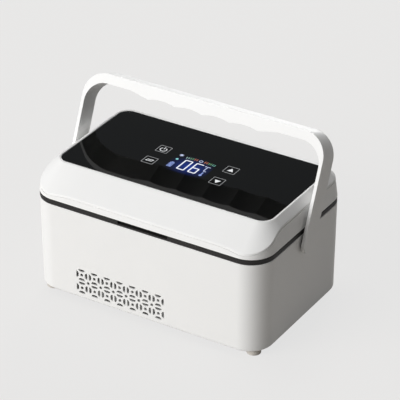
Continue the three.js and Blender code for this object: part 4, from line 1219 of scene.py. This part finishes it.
CREASE_FRONT_INSET = 1.2 * MM
CREASE_SIDE_INSET = 2.2 * MM
CORNER_LEAD = 24 * MM  # the front's gentler slope starts to end this far before a corner
CORNER_TAIL = 14 * MM  # and has ended this far into it
LID_CORNER_STEPS = 36
LID_FRONT_CUTS = 71
PARTING_DROP = 1.4 * MM
PARTING_WIDTH = 0.65 * MM
PARTING_DEPTH = 0.35 * MM
LID_SKIN = 2.2 * MM
GLASS_SLIP = 0.3 * MM
GLASS_SEAT = 0.2 * MM
GLASS_LEDGE = 4 * MM
LEDGE_THICKNESS = 1.8 * MM
CAVITY_OUTSET = 2.5 * MM
LID_EDGE = 0.42 * MM
LID_EDGE_STEPS = 3
LID_EDGE_LIMIT = 16


class LidSlope:
    """The lid's sloping top, which falls straight out from the lip to a crease on the wall."""

    def __init__(self):
        size = sizes()
        self.wall = body_outline()
        self.lip = glass_outline(GLASS_SLIP + size.lip)
        self.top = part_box("lid_shell")[1].z
        self.rise = self.top - lid_bottom()
        self.draft = (CREASE_SIDE_INSET - CREASE_FRONT_INSET) / (size.crease_side - size.crease_front)
        self.set_back = CREASE_FRONT_INSET - self.draft * size.crease_front
        margins = [wall - lip for wall, lip in zip(self.wall.half, self.lip.half)]
        front_margin = margins[1] + self.lip.middle[1] - self.wall.middle[1]
        self.front_fall = (self.rise - size.crease_front) / (front_margin - CREASE_FRONT_INSET)
        self.side_fall = (self.rise - size.crease_side) / (margins[0] - CREASE_SIDE_INSET)

    def foot(self, outline):
        """Places points of the lip on the lid's lower edge, or on an outline along it."""
        def place(point):
            met = self.wall.met(point.xy, self.lip.way_out(point))
            return (*self.wall.carry(met, outline), self.top - self.rise)

        return place

    def crease(self, inset=0, drop=0):
        """Places points of the lip on the crease, or inside and below it."""
        def place(point):
            way = self.lip.way_out(point)
            reach = (self.wall.met(point.xy, way) - point.xy).length
            straight = self.lip.half[0] - self.lip.corner
            path = min(abs(point.x - self.lip.middle[0]) - straight, 0)
            path += self.lip.corner * math.atan2(abs(way.x), -way.y)
            ahead = min(max((CORNER_TAIL - path) / (CORNER_TAIL + CORNER_LEAD), 0), 1)
            share = 1 - (1 - ahead) ** 2
            fall = self.side_fall + (self.front_fall - self.side_fall) * share
            run = (reach - self.set_back - self.draft * self.rise) / (1 - self.draft * fall)
            return (*(point.xy + way * (run - inset)), self.top - run * fall - drop)

        return place


class CASE_OT_lid(bpy.types.Operator):
    """Lid shell: a sloping top whose crease climbs round the corners, with a lip round the glass."""
    bl_idname = "case.lid"
    bl_label = "Lid shell"

    def execute(self, context):
        size = sizes()
        slope = LidSlope()
        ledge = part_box("glass_panel")[0].z - GLASS_SEAT
        axis = pivot("lid_hinge")
        shell = loft("lid_top", [
            (slope.lip, slope.top),
            slope.crease(),
            slope.foot(body_outline()),
            slope.foot(body_outline(size.wall)),
            slope.crease(size.wall, LID_SKIN),
            (glass_outline(CAVITY_OUTSET), ledge - LEDGE_THICKNESS),
            (glass_outline(-GLASS_LEDGE), ledge - LEDGE_THICKNESS),
            (glass_outline(-GLASS_LEDGE), ledge),
            (glass_outline(GLASS_SLIP), ledge),
            (glass_outline(GLASS_SLIP), slope.top),
        ], hollow=True, steps=LID_CORNER_STEPS, front_cuts=LID_FRONT_CUTS)
        round_edges(shell, LID_EDGE, LID_EDGE_STEPS, LID_EDGE_LIMIT)
        low = PARTING_DROP + PARTING_WIDTH
        cut(shell, loft("parting", [
            (slope.lip, slope.top, slope.crease(PARTING_DEPTH, PARTING_DROP)),
            slope.crease(-OVERCUT, PARTING_DROP),
            slope.crease(-OVERCUT, low),
            slope.crease(PARTING_DEPTH, low),
        ], hollow=True, steps=LID_CORNER_STEPS, front_cuts=LID_FRONT_CUTS))
        half = HINGE_LID_LENGTH / 2
        web_top = (axis.y, lid_bottom() + size.wall)
        for way in SIDES.values():
            x = way * HINGE_SPACING / 2
            add(shell, knuckle(x - half, x + half, (axis.y - WEB_REACH, axis.z), web_top))
        return finished(shell, "white_abs", "lid", "white_abs", "lid_shell")


GLASS_EDGE = 0.4 * MM


class CASE_OT_glass(bpy.types.Operator):
    """Glass touch panel with polished edges."""
    bl_idname = "case.glass"
    bl_label = "Glass panel"

    def execute(self, context):
        low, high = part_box("glass_panel")
        glass = loft("touch_glass", [(glass_outline(), low.z), (glass_outline(), high.z)])
        round_edges(glass, GLASS_EDGE)
        return finished(glass, "black_glass", "lid", "panel_glass", "glass_panel")


LINING_INSET = 3.6 * MM
PLUG_CLEARANCE = 3 * MM
PLUG_RIM = 3 * MM
PLUG_PAN = 4 * MM
GROOVE_SLIP = 0.2 * MM
GASKET_WIDTH = 3 * MM
GASKET_ROUND = 0.55 * MM
HEAD_SLIP = 0.3 * MM


class CASE_OT_lid_lining(bpy.types.Operator):
    """Lining under the lid with its plug, and the gasket in its groove."""
    bl_idname = "case.lid_lining"
    bl_label = "Lid lining and gasket"

    def execute(self, context):
        low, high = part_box("lid_liner")
        gasket_low, gasket_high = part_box("lid_gasket")
        magnet_low, magnet_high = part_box("lid_magnet_left")
        plate = magnet_low.z
        gasket_corner = sizes().chamber_corner + gasket_high.x - chamber_outline().half[0]
        outer = Outline(gasket_low, gasket_high, gasket_corner)
        inner = outer.grown(-GASKET_WIDTH)
        groove = gasket_high.z + GROOVE_SLIP
        lining = loft("lid_lining", [
            (body_outline(LINING_INSET), high.z),
            (body_outline(LINING_INSET), plate),
            (outer.grown(GROOVE_SLIP), plate),
            (outer.grown(GROOVE_SLIP), groove),
            (inner.grown(-GROOVE_SLIP), groove),
            (inner.grown(-GROOVE_SLIP), plate),
            (chamber_outline(-PLUG_CLEARANCE), plate),
            (chamber_outline(-PLUG_CLEARANCE), low.z),
            (chamber_outline(-PLUG_CLEARANCE - PLUG_RIM), low.z),
            (chamber_outline(-PLUG_CLEARANCE - PLUG_RIM), low.z + PLUG_PAN),
        ])
        round_edges(lining, THIN_EDGE)
        depth = magnet_high.z - plate
        slips = {f"lid_magnet_{side}": MAGNET_SLIP for side in SIDES}
        slips |= {f"lid_screw_{quarter}": HEAD_SLIP for quarter in QUARTERS}
        cut(lining, *[pocket(name, slip, plate, depth + slip) for name, slip in slips.items()])
        finished(lining, "lining_abs", "lid", "liner_plastic", "lid_liner")
        gasket = loft("sealing_gasket", [
            (outer, gasket_high.z),
            (outer, gasket_low.z),
            (inner, gasket_low.z),
            (inner, gasket_high.z),
        ], hollow=True)
        round_edges(gasket, GASKET_ROUND)
        return finished(gasket, "gasket_rubber", "lid", "gasket_rubber", "lid_gasket")


HANDLE_OUTER_CORNER = 21 * MM
HANDLE_INNER_CORNER = 19 * MM
HANDLE_LEAN = math.radians(23)
HANDLE_EDGE = 0.8 * MM
GRIP_GROOVES = 4
GRIP_DROP = 3.6 * MM  # cusps below the bar's plain underside
GRIP_RAMP = 18 * MM
STUD_RADIUS = 4 * MM
STUD_TIP = 1 * MM  # past the stud's clip
ARM_END_ROUND = 0.995  # share of the arms' half depth that their ends are rounded by


class CASE_OT_handle(bpy.types.Operator):
    """Carry handle: a bail with four finger grooves under its bar and a stud on each arm."""
    bl_idname = "case.handle"
    bl_label = "Handle"

    def execute(self, context):
        size = sizes()
        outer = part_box("handle")[1].x
        half = size.handle_depth / 2
        bail = block("handle_bail", (-outer, -half, -half), (outer, half, size.handle_top))
        bevel_along("X", half * ARM_END_ROUND, CORNER_STEPS, lambda co: co.z < -half + NEAR)
        bevel_along("Y", HANDLE_OUTER_CORNER, CORNER_STEPS, lambda co: co.z > size.handle_top - NEAR)
        cut(bail, self.loop_cutter(outer - size.handle_arm, half))
        radius = ((size.grip_pitch / 2) ** 2 + size.grip_depth ** 2) / (2 * size.grip_depth)
        cusp = size.handle_top - size.handle_bar - GRIP_DROP
        for x in spaced(GRIP_GROOVES, size.grip_pitch):
            middle = (x, 0, cusp + size.grip_depth - radius)
            cut(bail, rod("groove", radius, middle, 2 * size.handle_depth, "Y", 4 * ROUND_SIDES))
        round_edges(bail, HANDLE_EDGE)
        stud_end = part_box("pivot_clip_right")[0].x - STUD_TIP
        stud_root = outer - size.handle_arm / 2
        for way in SIDES.values():
            stud_middle = (way * (stud_root + stud_end) / 2, 0, 0)
            add(bail, rod("stud", STUD_RADIUS, stud_middle, stud_root - stud_end, "X"))
        bail.rotation_euler.x = -HANDLE_LEAN
        bail.location = pivot("handle_swing")
        settle(bail)
        return finished(bail, "white_abs", "handle", "white_abs", "handle")

    def loop_cutter(self, inner, half):
        """The space inside the bail, with a drop over the grip."""
        size = sizes()
        underside = size.handle_top - size.handle_bar
        cutter = block("loop", (-inner, -2 * half, -3 * half), (inner, 2 * half, underside))
        bevel_along("Y", HANDLE_INNER_CORNER, CORNER_STEPS, lambda co: co.z > underside - NEAR)
        grip = GRIP_GROOVES * size.grip_pitch / 2
        for way in SIDES.values():
            for x in (grip, grip + GRIP_RAMP):
                bpy.ops.mesh.select_all(action="SELECT")
                bpy.ops.mesh.bisect(plane_co=(way * x, 0, 0), plane_no=(1, 0, 0))
        select("VERT", lambda co: co.z > underside - NEAR and abs(co.x) < grip + NEAR)
        bpy.ops.transform.translate(value=(0, 0, -GRIP_DROP))
        return cutter


# Panel print, drawn flat with the case's middle as origin and then laid on the glass

TRIANGLE = 3
PRINT_THICKNESS = 0.03 * MM
PRINT_MIDDLE = (-0.9 * MM, 0.15 * MM)  # of all the print, from the middle of the case
KEY_PLACES = {
    "power": (-32.4 * MM, 15.5 * MM),
    "mode": (-32.5 * MM, -6.1 * MM),
    "up": (33.2 * MM, 14 * MM),
    "down": (32.8 * MM, -7.3 * MM),
}
KEY_STROKE = 0.45 * MM
KEY_CORNER = 0.8 * MM
KEY_LIGHT = 0.38
SYMBOL_LIGHT = 0.95
ICON_STROKE = 0.7 * MM
ARROW = 3.2 * MM  # middle of an arrowhead to its tip
ARROW_DROP = 0.5 * MM
POWER_RING = 2.8 * MM
POWER_GAP = math.radians(70)
POWER_BAR = 3.4 * MM
POWER_BAR_RISE = 2.24 * MM
SWAP_LENGTH = 6.4 * MM
SWAP_GAP = 1 * MM
SWAP_TIP = 1.1 * MM


def bar(x, y, along, across, turn=0):
    """A flat bar."""
    return fresh("bar", bpy.ops.mesh.primitive_plane_add, (along, across, 1), size=1, location=(x, y, 0),
                 rotation=(0, 0, turn))


def disc(x, y, radius, sides=SMALL_SIDES, turn=0):
    """A flat disc, or a flat polygon with few sides that points to the back."""
    return fresh("disc", bpy.ops.mesh.primitive_circle_add, vertices=sides, radius=radius, fill_type="NGON",
                 location=(x, y, 0), rotation=(0, 0, turn))


def placed(piece, x, y, turn):
    """Turns a flat shape drawn about the origin and moves it to its place."""
    piece.rotation_euler.z = turn
    piece.location = (x, y, 0)
    return settle(piece)


def arc(x, y, radius, stroke, begin=0, sweep=2 * math.pi, steps=32):
    """A flat band spun round a point, anticlockwise from an angle."""
    piece = edit(fresh("arc", bpy.ops.mesh.primitive_plane_add, size=stroke, location=(radius, 0, 0)))
    select("VERT", lambda co: co.y < 0)
    bpy.ops.mesh.delete(type="VERT")
    bpy.ops.mesh.select_all(action="SELECT")
    bpy.ops.transform.translate(value=(0, -stroke / 2, 0))
    bpy.ops.mesh.spin(steps=steps, angle=sweep, center=(0, 0, 0), axis=(0, 0, -1))
    bpy.ops.mesh.select_all(action="SELECT")
    bpy.ops.mesh.remove_doubles(threshold=NEAR)
    start()
    return placed(piece, x, y, begin)


def lay_on_glass(name, shapes, material, level):
    """Joins flat shapes and gives them the thickness of print on top of the glass."""
    piece = edit(join(name, shapes))
    pick("FACE", lambda face: face.normal.z < 0)
    bpy.ops.mesh.flip_normals()
    modify(piece, "SOLIDIFY", thickness=PRINT_THICKNESS, offset=-1)
    glass_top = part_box("glass_panel")[1].z
    across, back = PRINT_MIDDLE
    piece.location = (across, body_outline().middle[1] + back, glass_top + PRINT_THICKNESS * level)
    settle(piece)
    dress(piece, material, "lid", "panel_glass")


class CASE_OT_touch_keys(bpy.types.Operator):
    """Frames and symbols of the four touch keys."""
    bl_idname = "case.touch_keys"
    bl_label = "Touch keys"

    def execute(self, context):
        size = sizes()
        half = Vector((size.key_width, size.key_depth)) / 2
        frames = [self.key_frame(Vector(place), half) for place in KEY_PLACES.values()]
        lay_on_glass("key_frames", frames, lit_print("key_print", colours().print, KEY_LIGHT), 1)
        symbols = [*self.power(*KEY_PLACES["power"]), *self.swap(*KEY_PLACES["mode"])]
        for name, turn, drop in (("up", 0, ARROW_DROP), ("down", math.pi, 0)):
            x, y = KEY_PLACES[name]
            symbols.append(disc(x, y - drop, ARROW, TRIANGLE, turn))
        lay_on_glass("key_symbols", symbols, lit_print("symbol_print", colours().print, SYMBOL_LIGHT), 1)
        return {"FINISHED"}

    def key_frame(self, middle, half):
        """A thin frame with round corners."""
        frame_sheet = sheet("key_frame", Outline(middle - half, middle + half, KEY_CORNER), 0, FEW_STEPS)
        bpy.ops.mesh.inset(thickness=KEY_STROKE)
        bpy.ops.mesh.delete(type="FACE")
        return frame_sheet

    def power(self, x, y):
        """A ring open at the back, with a bar through its gap."""
        begin = math.pi / 2 + POWER_GAP / 2
        return [
            arc(x, y - ARROW_DROP, POWER_RING, ICON_STROKE, begin, 2 * math.pi - POWER_GAP),
            bar(x, y - ARROW_DROP + POWER_BAR_RISE, ICON_STROKE, POWER_BAR),
        ]

    def swap(self, x, y):
        """Two arrows that point to and fro."""
        shapes = []
        for way in SIDES.values():
            shapes.append(bar(x, y + way * SWAP_GAP, SWAP_LENGTH - SWAP_TIP, ICON_STROKE))
            tip = x + way * (SWAP_LENGTH - SWAP_TIP) / 2
            shapes.append(disc(tip, y + way * SWAP_GAP, SWAP_TIP, TRIANGLE, -way * math.pi / 2))
        return shapes


DISPLAY_LOW = (-18 * MM, -12 * MM)
DISPLAY_HIGH = (20 * MM, 18 * MM)
DISPLAY_CORNER = 2 * MM
BACKLIGHT_REACH = (25 * MM, 18.5 * MM)
BACKLIGHT_MIDDLE = (2 * MM, 1 * MM)
BACKLIGHT_LEVEL = 0.3
DIGIT_LIGHT = 0.95
SIGN_LIGHT = 0.9
SEGMENT_STROKE = 1.2 * MM
SEGMENT_GAP = 0.15 * MM
SEGMENT_POINT = 0.7  # both points of a segment together, as a share of its stroke
SEGMENTS = {"0": "abcdef", "6": "acdefg", "C": "adef"}
DIGIT_PLACES = (("0", -3.45 * MM), ("6", 7.15 * MM))
DIGIT_MIDDLE = 1.6 * MM
UNIT_PLACE = (16 * MM, 4.6 * MM)
UNIT_SIZE = (3.4 * MM, 8.4 * MM)
UNIT_STROKE = 0.8 * MM
DEGREE_PLACE = (12.9 * MM, 8.4 * MM)
DEGREE_RADIUS = 0.65 * MM
THERMOMETER_PLACE = (15.9 * MM, -4.4 * MM)
THERMOMETER_STEM = (1.1 * MM, 4.6 * MM)
THERMOMETER_RISE = 1 * MM
THERMOMETER_BULB = 1.35 * MM
THERMOMETER_DROP = 1.7 * MM
SNOWFLAKE_PLACE = (-14.25 * MM, 14.6 * MM)
SNOWFLAKE_ARM = (3.8 * MM, 0.75 * MM)
SNOWFLAKE_ARMS = 3
LAMP_DOT_PLACE = (-14.25 * MM, 7.2 * MM)
LAMP_DOT_RADIUS = 1.25 * MM
BATTERY_PLACE = (-14.3 * MM, -3.1 * MM)
BATTERY_SIZE = (4 * MM, 7.6 * MM)
BATTERY_LINE = 0.45 * MM
BATTERY_BARS = 4
DIAL_PLACE = (4.9 * MM, 13.7 * MM)
DIAL_RADIUS = 1.45 * MM
DIAL_STROKE = 0.6 * MM
TICK_SIZE = (0.55 * MM, 2.9 * MM)
TICK_PITCH = 1.9 * MM
TICK_RISE = 0.4 * MM  # middle tick above the dial's middle
TICK_BEND = 90 * MM  # radius of the arc that the ticks stand on
TICK_COLOURS = {
    "pale": ("#a8cfc4", (-7, -6)),
    "green": ("#80b884", (-5, -4, 4, 5)),
    "amber": ("#dd8660", (-3, -2, 2, 3)),
    "aqua": ("#7cc4b4", (6, 7)),
}


class CASE_OT_display(bpy.types.Operator):
    """Lit display: backlight, two digits, unit, tick arc and small symbols."""
    bl_idname = "case.display"
    bl_label = "Display"

    def execute(self, context):
        size = sizes()
        backlight = sheet("backlight", Outline(DISPLAY_LOW, DISPLAY_HIGH, DISPLAY_CORNER), 0, FEW_STEPS)
        lay_on_glass("display_backlight", [backlight], self.backlight_material(), 1)
        digits = []
        for figure, x in DIGIT_PLACES:
            digits += self.digit(figure, x, DIGIT_MIDDLE, size.digit_width, size.digit_height, SEGMENT_STROKE)
        self.lay("digits", digits, "digit_light", "#f2f5ff", DIGIT_LIGHT)
        symbols = [
            *self.digit("C", *UNIT_PLACE, *UNIT_SIZE, UNIT_STROKE),
            arc(*DEGREE_PLACE, DEGREE_RADIUS, UNIT_STROKE / 2),
            *self.snowflake(*SNOWFLAKE_PLACE),
            arc(*DIAL_PLACE, DIAL_RADIUS, DIAL_STROKE),
        ]
        self.lay("unit", symbols, "pale_light", "#c9d3f4")
        signs = [*self.thermometer(*THERMOMETER_PLACE), *self.battery(*BATTERY_PLACE)]
        self.lay("signs", signs, "blue_light", "#8fa3e0")
        self.lay("dot", [disc(*LAMP_DOT_PLACE, LAMP_DOT_RADIUS)], "cyan_light", "#8ed8da")
        for name, (code, steps) in TICK_COLOURS.items():
            self.lay(f"ticks_{name}", [self.tick(step) for step in steps], f"{name}_tick_light", code)
        return {"FINISHED"}

    def lay(self, name, shapes, light, code, strength=SIGN_LIGHT):
        """Lays shapes over the backlight, in a light of their own."""
        lay_on_glass(f"display_{name}", shapes, lit_print(light, linear(code), strength), 2)

    def digit(self, figure, x, y, width, height, stroke):
        """A seven-segment figure about its middle."""
        side = (width - stroke) / 2
        end = (height - stroke) / 2
        across = 2 * side - 2 * SEGMENT_GAP
        upright = end - 2 * SEGMENT_GAP
        places = {
            "a": (0, end, across, 0), "g": (0, 0, across, 0), "d": (0, -end, across, 0),
            "f": (-side, end / 2, upright, 1), "b": (side, end / 2, upright, 1),
            "e": (-side, -end / 2, upright, 1), "c": (side, -end / 2, upright, 1),
        }
        shapes = []
        for name in SEGMENTS[figure]:
            along, up, reach, standing = places[name]
            shapes.append(self.segment(x + along, y + up, reach, stroke, standing * math.pi / 2))
        return shapes

    def segment(self, x, y, reach, stroke, turn):
        """A bar with pointed ends."""
        piece = edit(bar(0, 0, reach, stroke))
        pick_along("Y")
        bpy.ops.mesh.subdivide(number_cuts=1)
        select("VERT", lambda co: abs(co.y) < NEAR)
        stretch = (reach + SEGMENT_POINT * stroke) / reach
        bpy.ops.transform.resize(value=(stretch, 1, 1), center_override=(0, 0, 0))
        start()
        return placed(piece, x, y, turn)

    def snowflake(self, x, y):
        """Crossed bars, one of them upright."""
        turns = [(arm + 0.5) * math.pi / SNOWFLAKE_ARMS for arm in range(SNOWFLAKE_ARMS)]
        return [bar(x, y, *SNOWFLAKE_ARM, turn) for turn in turns]

    def thermometer(self, x, y):
        stem = bar(x, y + THERMOMETER_RISE, *THERMOMETER_STEM)
        return [stem, disc(x, y - THERMOMETER_DROP, THERMOMETER_BULB)]

    def battery(self, x, y):
        """A case in outline with four bars of charge and a tip."""
        width, height = BATTERY_SIZE
        line = BATTERY_LINE
        charge = (height - 3 * line) / BATTERY_BARS
        shapes = [bar(x, y + up, width - 3 * line, charge - line) for up in spaced(BATTERY_BARS, charge)]
        for way in SIDES.values():
            shapes.append(bar(x + way * (width - line) / 2, y, line, height - 2 * line))
            shapes.append(bar(x, y + way * (height - line) / 2, width, line))
        shapes.append(bar(x, y + height / 2 + line, width / 2, 2 * line))
        return shapes

    def tick(self, step):
        """One tick of the scale over the digits, leaning with the arc."""
        along = step * TICK_PITCH
        x = DIAL_PLACE[0] + along
        y = DIAL_PLACE[1] + TICK_RISE - along ** 2 / (2 * TICK_BEND)
        return bar(x, y, *TICK_SIZE, -along / TICK_BEND)

    def backlight_material(self):
        # Blue backlight behind smoked glass: brightest behind the digits, fading to black at the edges
        material, tree, shader, place = new_material("blue_backlight")
        across = BACKLIGHT_MIDDLE[0] + PRINT_MIDDLE[0]
        back = BACKLIGHT_MIDDLE[1] + PRINT_MIDDLE[1] + body_outline().middle[1]
        middle = Vector((across, back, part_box("glass_panel")[1].z))
        scale = Vector((1 / BACKLIGHT_REACH[0], 1 / BACKLIGHT_REACH[1], 1))
        centred = node(tree, "ShaderNodeMapping", {
            "Vector": place, "Location": -middle * scale, "Scale": scale})
        glow = node(tree, "ShaderNodeTexGradient", {
            "Vector": centred.outputs["Vector"]}, gradient_type="QUADRATIC_SPHERE")
        level = spread(tree, glow.outputs["Fac"], 0, BACKLIGHT_LEVEL)
        light_up(shader, level, colours().backlight, shade(colours().glass))
        return material


OPERATORS = (
    CASE_OT_stage, CASE_OT_inner_pieces, CASE_OT_body, CASE_OT_inlet, CASE_OT_feet, CASE_OT_bottom_cover,
    CASE_OT_screws, CASE_OT_magnets, CASE_OT_seam_band, CASE_OT_chamber, CASE_OT_lid, CASE_OT_glass,
    CASE_OT_lid_lining, CASE_OT_handle, CASE_OT_touch_keys, CASE_OT_display,
)


class CASE_PT_panel(bpy.types.Panel):
    """Lists the case's pieces in the sidebar."""
    bl_idname = "CASE_PT_panel"
    bl_label = "Cooling case"
    bl_space_type = "VIEW_3D"
    bl_region_type = "UI"
    bl_category = "Case"

    def draw(self, context):
        for operator in OPERATORS:
            self.layout.operator(operator.bl_idname)
        for group in (context.scene.case_sizes, context.scene.case_colours):
            for name in group.__annotations__:
                self.layout.prop(group, name)


CLASSES = (CaseSizes, CaseColours, *OPERATORS, CASE_PT_panel)


def register():
    for item in CLASSES:
        bpy.utils.register_class(item)
    bpy.types.Scene.case_sizes = bpy.props.PointerProperty(type=CaseSizes)
    bpy.types.Scene.case_colours = bpy.props.PointerProperty(type=CaseColours)


def unregister():
    del bpy.types.Scene.case_colours
    del bpy.types.Scene.case_sizes
    for item in reversed(CLASSES):
        bpy.utils.unregister_class(item)


def main():
    """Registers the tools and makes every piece."""
    register()
    for operator in OPERATORS:
        group, name = operator.bl_idname.split(".")
        getattr(getattr(bpy.ops, group), name)()


if __name__ == "__main__":
    main()
